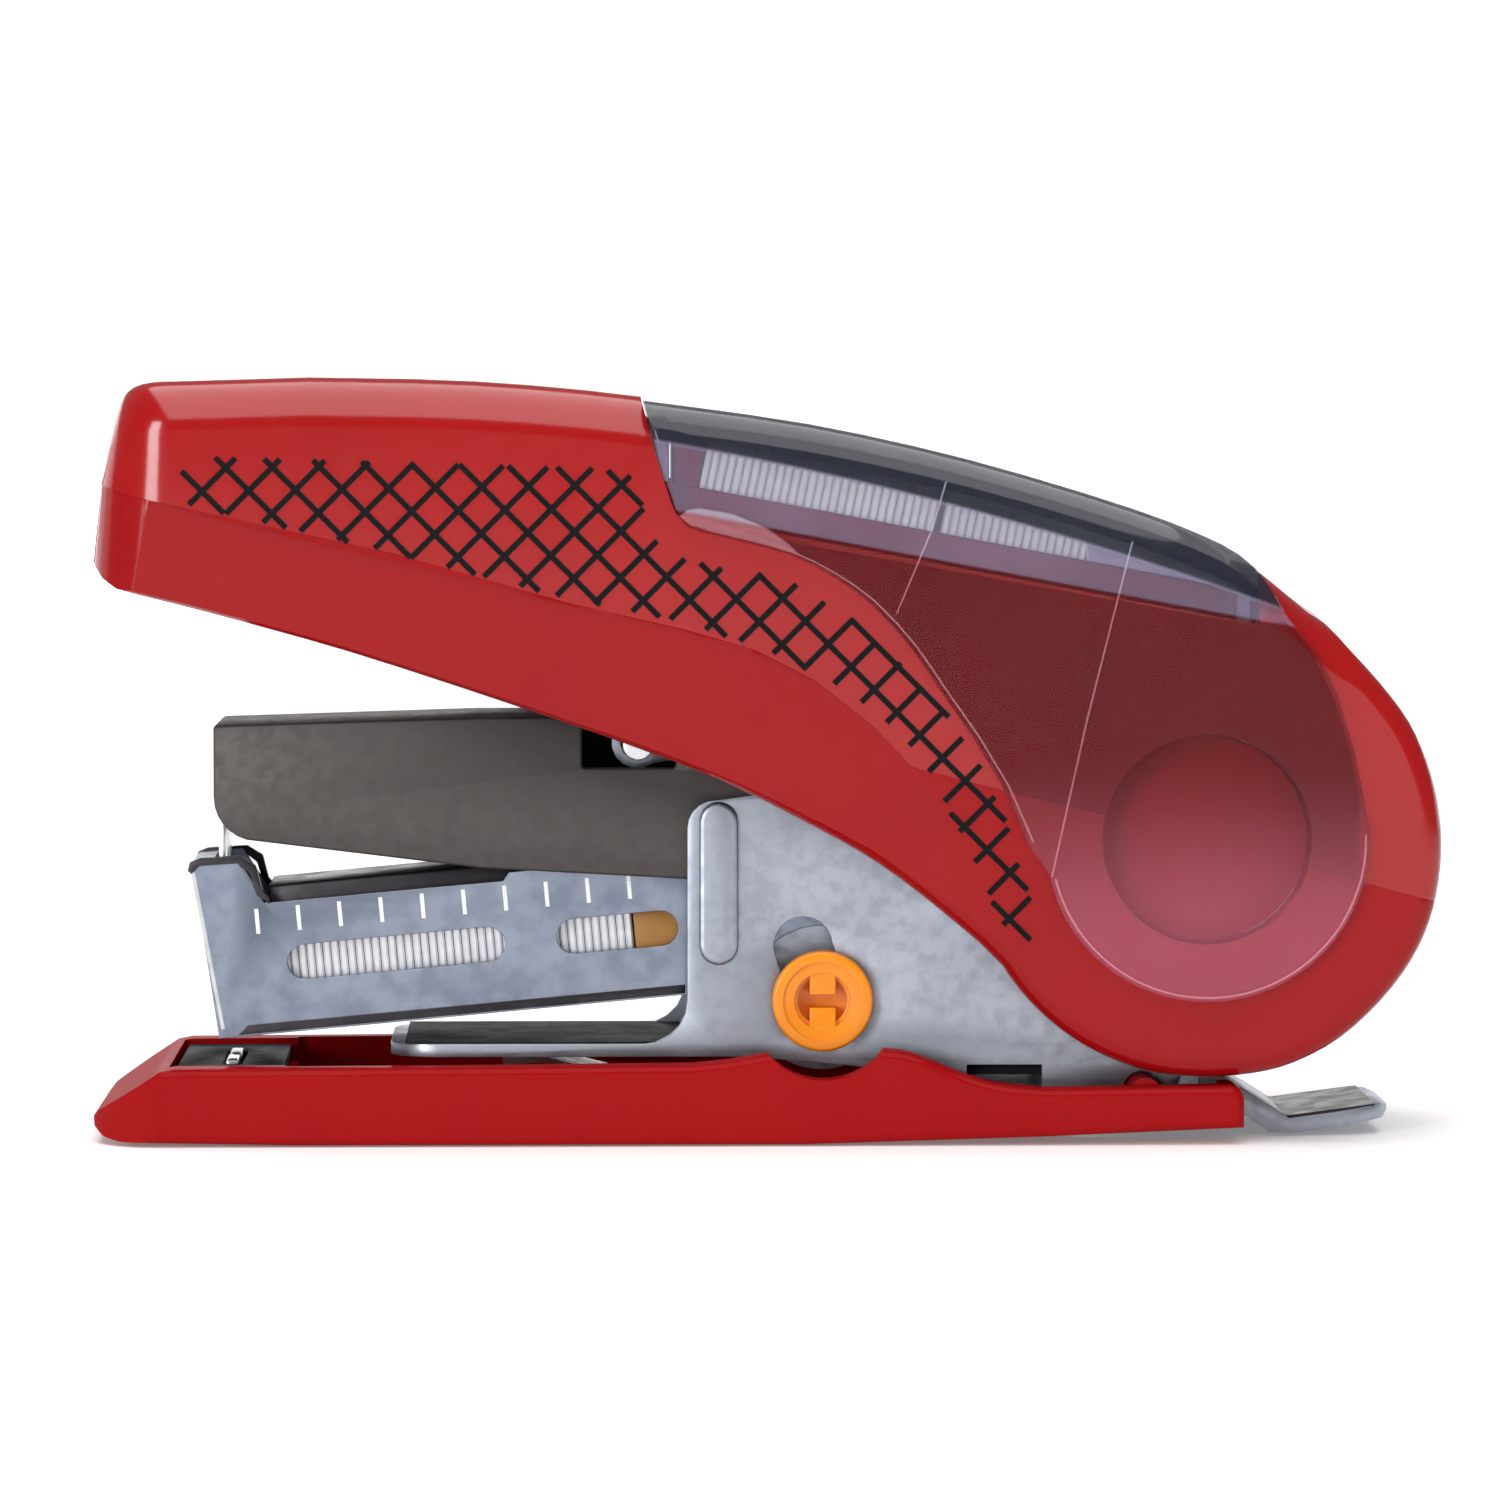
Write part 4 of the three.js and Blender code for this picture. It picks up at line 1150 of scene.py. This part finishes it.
@dataclass
class Handle(SubAssembly):
    """The two red shells, the grip print, the bushes, the tray and the stored staples."""

    body: str = "handle"
    half: float = 11.3
    rim: float = 1.3
    parting: Sequence[Point] = (
        (-45, 40.2), (-41, 39.9), (-38.9, 39.2), (-29.4, 37.1), (-22.9, 35.7), (-12.3, 32.7),
        (-5.3, 31.1), (-1.2, 29.9), (2.5, 28), (5.9, 25.3), (8.3, 22.8), (20.9, 19.6), (32.1, 16.7),
        (45, 13.3),
    )
    underside: Sequence[Point] = (
        (13.5, 11.2), (7.6, 16), (2.5, 19.1), (-5.9, 23.05), (-22.6, 28.8), (-32.2, 31.6), (-38.4, 33.2),
    )

    def side_outline(self) -> list[Point]:
        """The handle's tail and underside, left open above and ahead of the swept shells."""
        tail = [
            (34.1, 30.6), (36.5, 28.0), (38.4, 25.5), (39.5, 23.1), (40.15, 20.7), (40.4, 18.2),
            (40.25, 15.8),
            (39.7, 13.4), (38.6, 11.0), (36.8, 8.6), (34.3, 6.3), (31.5, 4.8), (29, 4.15), (26.1, 3.9),
        ]
        return [
            (-43, 48), (18, 48), (27, 38.4), (31.4, 33.4),
            *through(tail, 3),
            *arc(AXLE, 14.5, 262, 212, 14),
            *through(self.underside, 4)[1:],
            (-39.6, 33.55), (-40.5, 34.15), (-41.1, 35.0), (-41.6, 36.2), (-43, 39.2),
        ]

    def hollow(self) -> Object:
        """The space between the side walls."""
        wall = 1.6
        inside = [
            (-39.4, -5), (-39.4, 41.5), (-38.2, 43.8), *((x, z - wall) for x, z in TOP_LINE[:-1]),
            (28.5, 33.0), (31, 30.6), *arc((26.3, 17.5), 14.1 - wall, 52, -24, 16), (45, 4), (45, -5),
        ]
        return plate("hollow", inside, -9.5, 9.5)

    def shell(self, name: str, start: float, nose: Nose) -> Object:
        """One shell before the other is taken away from it.

        Args:
            name: Name of the shell.
            start: Where the rounding of its nose begins.
            nose: That rounding.

        Returns:
            The hollow shell.
        """
        spine = [(start, 46.1), *through(TOP_LINE, 3), (31.5, 32.9), (34.1, 31.2), (39, 28), (46, 24)]
        body = swept(name, shoulder_section(self.half, 3.0, 0.06, 46), spine, nose)
        side = plate("side", self.side_outline(), -self.half, self.half)
        combined(body, "INTERSECT", rims_rounded(side, self.half, self.rim))
        return combined(body, "DIFFERENCE", self.hollow(), round_bar("hole", AXLE, HUB_HOLE, -20, 20))

    def above_parting(self, lift: float) -> Object:
        """Everything above the line where the shells meet."""
        line = [(x, z + lift) for x, z in self.parting]
        return plate("above", [*line, (45, 60), (-45, 60)], -20, 20)

    def belly_cut(self) -> Object:
        """What is taken off the lower shell's sides, fading out towards the tail."""
        crease = [
            (-44, 40.4), (-41, 39.7), (-37.1, 38.8), (-32.8, 37.6), (-23.8, 35.4), (-12.9, 32.7),
            (-5.6, 31.0), (-2.1, 30.0), (0.3, 29.0), (3.3, 27.5), (5.7, 25.7), (7.5, 24.1), (9.0, 22.2),
            (10.2, 19.9), (12.0, 16.7), (13.8, 13.2),
        ]
        foot = [
            (-44, 30), (-41, 30.4), (-37, 30.2), (-32, 28.8), (-23, 26.2), (-12, 22.8), (-6, 20.2),
            (-3, 19), (-0.5, 17.6), (2, 16), (4.5, 14.2), (6.5, 12.6), (8.5, 11), (10, 9.6), (11.5, 8.4),
            (12.6, 8.8),
        ]
        steps = len(crease) - 1
        select_only()
        bpy.ops.mesh.primitive_plane_add(size=MM, location=(0, 0, 0))
        cutter = named("belly_cut")
        edit(cutter)
        bpy.ops.mesh.delete(type="VERT")
        leave()
        chains = []
        for line, edge_depth, fade in ((crease, 0.27, 1.3), (foot, 0.95, 0.7)):
            places = []
            for i, point in enumerate(line):
                share = (1 - i / steps) ** fade
                places.append(View.SIDE.place(point, -(self.half + 0.02) + edge_depth * share))
            chains.append(places)
        rows = []
        for places in chains:
            bpy.ops.mesh.primitive_plane_add(size=MM, location=places[0])
            row = named("row")
            edit(row)
            bpy.ops.mesh.merge(type="CENTER")
            carried(*(there - here for here, there in pairwise(places)))
            leave()
            rows.append(row)
        cutter = joined("belly_cut", [cutter, *rows])
        edit(cutter)
        bpy.ops.mesh.bridge_edge_loops()
        bpy.ops.mesh.select_all(action="SELECT")
        carried(Vector((0, -4 * MM, 0)))
        leave()
        return both_sides(outward(cutter))

    def build(self) -> None:
        """Build and dress the handle's pieces."""
        self.build_lower()
        self.build_upper()
        self.build_print()
        self.build_panels()
        for node, name, low, high in (
            ("handle_bush_near", "bush_near", -9.45, -7.6), ("handle_bush_far", "bush_far", 7.6, 9.45)
        ):
            bush = edges_broken(round_bar(name, AXLE, BUSH_RADIUS, low, high), 0.2)
            self.seat(smooth(bush), Slot.RED, LOWER_RED, node)
        self.seat(self.refined("staple_tray", "store_tray", 0.15), Slot.DARK_RED, DARK_RED, "store_tray")
        self.build_store_ends()
        self.build_stored()

    def build_lower(self) -> None:
        """The lower shell, with its drafted belly."""
        lower = self.shell("handle_lower_shell", -36.05, Nose(pivot=38.0))
        combined(lower, "DIFFERENCE", self.belly_cut())
        combined(lower, "DIFFERENCE", self.above_parting(-0.01))
        evened(smooth(edges_broken(lower, 0.1, 35), 30))
        self.seat(lower, Slot.RED, LOWER_RED, "handle_lower")

    def build_upper(self) -> None:
        """The upper shell, opened for the store, with its bulkhead and press pad."""
        upper = self.shell("handle_upper_shell", -36.05, Nose(lean=math.radians(14), pivot=39.8))
        combined(upper, "INTERSECT", self.above_parting(0))
        store = [
            (-8.0, 60), (-8.0, 44.9), (-7.1, 41.5), (-6.2, 38.7), (-5.9, level_at(-5.9, SILL)),
            (29.2, level_at(29.2, SILL)), (29.2, 60),
        ]
        combined(upper, "DIFFERENCE", plate("store", store, -20, 20))
        smooth(edges_broken(upper, 0.14, 40), 30)
        foot = level_at(-8.2, TRAY_LEVEL) - 1.2
        bulkhead = block("bulkhead", (-9.8, -8.4), (-9.7, 9.7), (foot, 44.2))
        pad = block("press_pad", (-34.5, -25), (-2.6, 2.6), (35.3, 45))
        inner = smooth(edges_broken(joined("inner_ribs", [bulkhead, pad]), 0.2))
        self.seat(evened(joined("handle_upper_shell", [upper, inner])), Slot.RED, RED, "handle_upper")

    def build_print(self) -> None:
        """The black cross-hatch print that gives grip on both sides."""
        families = ((1, 2.75, 2.27), (-1, 2.84, 2.23))
        upper_edge = [
            (-35.9, 40.3), (-34.8, 41.5), (-10.6, 40.8), (-8.65, 40.35), (-8, 38.7), (-7.15, 36.5),
            (-5.3, 35.3),
            (-3.1, 34.8), (-0.5, 34.4), (1.4, 33.8), (4.8, 31.6), (7.7, 29.0), (10.3, 26.1), (12.5, 22.8),
            (13.4, 20.7), (14.4, 18.5), (14.8, 16.5), (15.6, 14.5), (15.4, 12.0),
        ]
        lower_edge = [
            (14.2, 12.4), (13, 14.9), (12.3, 16.6), (10.7, 19.8), (9.4, 22.4), (7.9, 24.4), (6, 26.2),
            (3.5, 27.9), (0.4, 29.5), (-2, 30.4), (-5.6, 31.6), (-12.9, 33.1), (-23.8, 35.95),
            (-32.8, 38.05), (-35.8, 38.8),
        ]
        region = [*upper_edge, *lower_edge]
        bars = []
        for direction, pitch, first in families:
            for i in range(-2, 30):
                for start, stop in self.crossings(region, direction, first + i * pitch):
                    bars.append(self.stroke(start, stop, direction))
        grip = both_sides(joined("grip_print", bars))
        self.seat(grip, Slot.RED, BLACK_INK)

    @staticmethod
    def crossings(region: Sequence[Point], direction: int, offset: float) -> Iterable[tuple]:
        """Stretches of one slanting line that lie inside a region.

        Args:
            region: Corners of the region.
            direction: 1 for a line that climbs towards the tail, -1 for one that falls.
            offset: Height of the line at x = 0.

        Returns:
            Pairs of side points.
        """
        hits = []
        for (xa, za), (xb, zb) in zip(region, [*region[1:], region[0]]):
            over_a = za - direction * xa - offset
            over_b = zb - direction * xb - offset
            if (over_a < 0) != (over_b < 0):
                share = over_a / (over_a - over_b)
                hits.append(xa + (xb - xa) * share)
        hits.sort()
        for start, stop in zip(hits[::2], hits[1::2]):
            if stop - start > 0.5:
                yield (start, direction * start + offset), (stop, direction * stop + offset)

    def stroke(self, start: Point, stop: Point, direction: int) -> Object:
        """One straight line of the print between two side points."""
        half = 0.17 / math.sqrt(2)
        across = (-direction * half, half)
        corners = [
            (start[0] - across[0], start[1] - across[1]), (stop[0] - across[0], stop[1] - across[1]),
            (stop[0] + across[0], stop[1] + across[1]), (start[0] + across[0], start[1] + across[1]),
        ]
        proud = 0.05 if direction > 0 else 0.045
        return plate("stroke", corners, -self.half - proud, -self.half + 0.05)

    def build_panels(self) -> None:
        """Dark red panels on the upper shell's sides, seen through the cover; their dark red is painted shade
        under the cover.
        """
        outline = [
            (-5.4, 37.5), *((x, z + 0.25) for x, z in COVER_FOOT[::-1]), (13.8, 21.8), (15.3, 18.3),
            (15.8, 15),
            (35.2, 12), (35.3, 20.5), (34.7, 23.6), (33.6, 27.1), (32.4, 29.6), (30.7, 31.6), (29.1, 31.3),
        ]
        shade_panel = plate("side_shade_panels", outline, -self.half - 0.1, -self.half + 0.2)
        combined(shade_panel, "INTERSECT", self.above_parting(0.02))
        combined(shade_panel, "DIFFERENCE", round_bar("hole", AXLE, HUB_HOLE, -20, 20))
        self.seat(both_sides(shade_panel), Slot.DARK_RED, DARK_RED)

    def build_store_ends(self) -> None:
        """The slab ahead of the spare staples and the pale rests at both ends of the store."""
        slab = plate("store_slab", [(-6.05, 38), (-4.98, 38), (-4.0, 42.9), (-6.05, 43.2)], -9.2, 9.2)
        self.seat(smooth(edges_broken(slab, 0.12)), Slot.DARK_RED, DARK_RED)
        front = block("front_rest", (-7.6, -6.3), (-9.0, 9.0), (38.6, 43.8))
        rear = [(18.9, 33.25), (28.9, 31.1), (28.9, 33.2), (27.6, 34.3), (24, 35.7), (18.9, 36.9)]
        rests = joined("store_rests", [front, plate("rear_rest", rear, -9, 9)])
        self.seat(smooth(edges_broken(rests, 0.2)), Slot.CLEAR, LINER)

    def build_stored(self) -> None:
        """The spare staple rows that lie on the tray."""
        pitch = math.atan(-TRAY_LEVEL[1])
        for place, (start, stop) in (("front", (-4.9, 9.4)), ("rear", (9.7, 18.4))):
            count = round((stop - start) / math.cos(pitch) * 2)
            for side, middle in (("near", -4.5), ("far", 4.5)):
                row = staple_row(f"spare_staples_{place}_{side}", count, 4.6, middle)
                moved(row, pitch, (0, 0), (start, level_at(start, TRAY_LEVEL) + 0.25))
                self.seat(row, Slot.STAPLE, STAPLE, f"stored_strip_{place}_{side}")


# ---- Cover ---------------------------------------------------------------------------------


@dataclass
class Cover(SubAssembly):
    """The clear cover of the staple store."""

    body: str = "cover"
    half: float = 12.15
    inner: float = 11.45
    sheet: float = 1.05
    tab: Sequence[Point] = (
        (-5.7, 37.95), (-5.3, 38.3), (-4.6, 38.45), (-2.6, 38.1), (-0.6, 37.3), (0.8, 36.3), (1.6, 35.55),
        (-0.6, 36.3), (-3.6, 37.0), (-5.1, 37.4),
    )
    # Lines along which thin pale strips are drawn as painted highlights.
    seam_glints: Sequence[Sequence[Point]] = (
        ((10.2, 40.0), (9.35, 37.1), (7.25, 32.1)),
        ((21.4, 36.4), (18.7, 25.7), (16.6, 16.2)),
    )

    def build(self) -> None:
        """Build and dress the cover."""
        roof = [(-9.5, 45.2), (-7.9, 44.95), (2, 43.55), (11.7, 41.4), (21.6, 38.45), (27, 36.3), (29, 34.9)]
        spine = [*through(roof, 3), (31.5, 33), (36, 30)]
        outline = [
            (-7.85, 50), (27, 38.5), (29.0, 34.9), (30.9, 31.8), (32.7, 29.7), (33.9, 27.2), (35.0, 23.6),
            (35.6, 20.5), *arc(AXLE, 9.8, 4, -168, 40), (15.2, 18.2), (13.7, 21.6),
            *through(COVER_FOOT, 2), (-5.3, 37.3), (-5.85, 38.0),
            (-6.95, 41.3), (-7.85, 44.8),
        ]
        body = swept("clear_cover", shoulder_section(self.half, 2.2, 0.06, 48), spine)
        side = plate("cover_side", outline, -self.half, self.half)
        combined(body, "INTERSECT", rims_rounded(side, self.half, 0.45, 3))
        low_spine = [(x, z - self.sheet) for x, z in spine]
        room = swept("room", shoulder_section(self.inner, 1.8, 0.06, 60), low_spine)
        combined(body, "DIFFERENCE", room)
        hub = both_sides(round_bar("hub", AXLE, HUB_RADIUS, -11.6, -9.75))
        combined(body, "UNION", hub)
        smooth(body, 30)
        self.seat(evened(body), Slot.CLEAR, CLEAR, "storage_cover")
        # The tab, the ring round the disc and the strips along the seams and the cover's foot share a pale
        # finish: painted highlights on the cover's edges.
        tab = plate("tab", self.tab, -self.half - 0.2, -self.half + 0.1)
        edges_rounded(tab, lambda a, b: max(a.y, b.y) < -self.half - 0.18, 0.14, 3)
        tab_and_glints = [smooth(tab)]
        foot = through(COVER_FOOT, 2)
        rim = [(15.5, 18.3), (14.0, 21.7), *((x + 0.25, z + 0.12) for x, z in foot)]
        ring = [*arc(AXLE, 9.55, 2, -166, 40), *arc(AXLE, 9.43, -166, 2, 40)]
        tab_and_glints.append(plate("ring", ring, -self.half - 0.04, -self.half + 0.1))
        for line in (*self.seam_glints, rim):
            back = [(x + 0.12, z + 0.03) for x, z in reversed(line)]
            tab_and_glints.append(plate("seam_glint", [*line, *back], -self.half - 0.04, -self.half + 0.1))
        self.seat(both_sides(joined("cover_edge_glints", tab_and_glints)), Slot.CLEAR, EDGE_GLINT)


# ---- Studio --------------------------------------------------------------------------------


@dataclass
class Studio:
    """Camera, lights and floor."""

    lens: float = 174.96
    turn: float = math.radians(1.28)
    dip: float = math.radians(3.09)

    def place_camera(self) -> None:
        """Put the camera in front of the near side."""
        data = bpy.data.cameras.new("camera")
        data.lens = self.lens
        data.sensor_width = 36
        data.clip_start, data.clip_end = 0.01, 50
        camera = bpy.data.objects.new("camera", data)
        bpy.context.scene.collection.objects.link(camera)
        camera.location = (-0.01127, -0.4492, 0.04751)
        ahead = Vector((
            math.sin(self.turn) * math.cos(self.dip),
            math.cos(self.turn) * math.cos(self.dip),
            -math.sin(self.dip),
        ))
        camera.rotation_mode = "QUATERNION"
        camera.rotation_quaternion = ahead.to_track_quat("-Z", "Y")
        bpy.context.scene.camera = camera

    def softbox(self, name: str, place: Vector, size: Point, power: float, aim: Vector) -> None:
        """A rectangular light.

        Args:
            name: Name of the light.
            place: Where it hangs, in metres.
            size: Its width and height, in metres.
            power: Its power in watts.
            aim: The point it faces.
        """
        data = bpy.data.lights.new(name, "AREA")
        data.shape = "RECTANGLE"
        data.size, data.size_y = size
        data.energy = power
        lamp = bpy.data.objects.new(name, data)
        bpy.context.scene.collection.objects.link(lamp)
        lamp.location = place
        lamp.rotation_mode = "QUATERNION"
        lamp.rotation_quaternion = (aim - place).to_track_quat("-Z", "Y")

    def light(self) -> None:
        """Set up the soft lights, the pale world and the floor."""
        scene = bpy.context.scene
        scene.view_settings.view_transform = "Standard"
        world = bpy.data.worlds.new("pale_room")
        scene.world = world
        world.use_nodes = True
        background = world.node_tree.nodes["Background"]
        background.inputs["Color"].default_value = (1, 1, 1, 1)
        background.inputs["Strength"].default_value = 0.22
        middle = Vector((0, 0, 0.02))
        self.softbox("overhead", Vector((0, -0.45, 0.8)), (0.8, 2.1), 14, Vector((0, -0.45, 0)))
        self.softbox("left", Vector((-0.7, -0.95, 0.12)), (0.35, 0.7), 9, middle)
        self.ground("floor", Vector((0, 0, -0.0001)), (6, 6), 0, 0.15)
        self.ground("backdrop", Vector((0, 0.85, 0.12)), (6, 0.25), math.pi / 2, 0.95)

    def ground(self, name: str, place: Vector, size: Point, tilt: float, glow: float) -> None:
        """One pale sheet of the set.

        Args:
            name: Name of the sheet.
            place: Its middle, in metres.
            size: Its width and depth, in metres.
            tilt: Its turn about X.
            glow: How much light it gives off by itself.
        """
        select_only()
        bpy.ops.mesh.primitive_plane_add(size=1)
        sheet = bpy.context.object
        sheet.scale = (*size, 1)
        sheet.rotation_euler = (tilt, 0, 0)
        sheet.location = place
        named(name)
        recipe = Recipe(name + "_paper")
        spots = recipe.node("ShaderNodeTexCoord", {}, {}, "Object")
        clouds = recipe.node("ShaderNodeTexNoise", {}, {"Vector": spots, "Scale": 3})
        paper = recipe.blend(clouds, (0.93, 0.93, 0.93, 1), (0.95, 0.95, 0.95, 1))
        sheet.data.materials.append(recipe.surface({
            "Base Color": paper,
            "Roughness": 0.9,
            "Emission Color": (1, 1, 1, 1),
            "Emission Strength": glow,
        }))


def main() -> None:
    """Build the studio and every sub-assembly."""
    logging.basicConfig(level=logging.INFO, format="%(message)s")
    studio = Studio()
    studio.place_camera()
    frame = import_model()
    for assembly in (Base, Frame, Magazine, Drive, Handle, Cover):
        assembly(frame).build()
        log.info("%s built", assembly.__name__)
    studio.light()
    select_only()


if __name__ == "__main__":
    main()
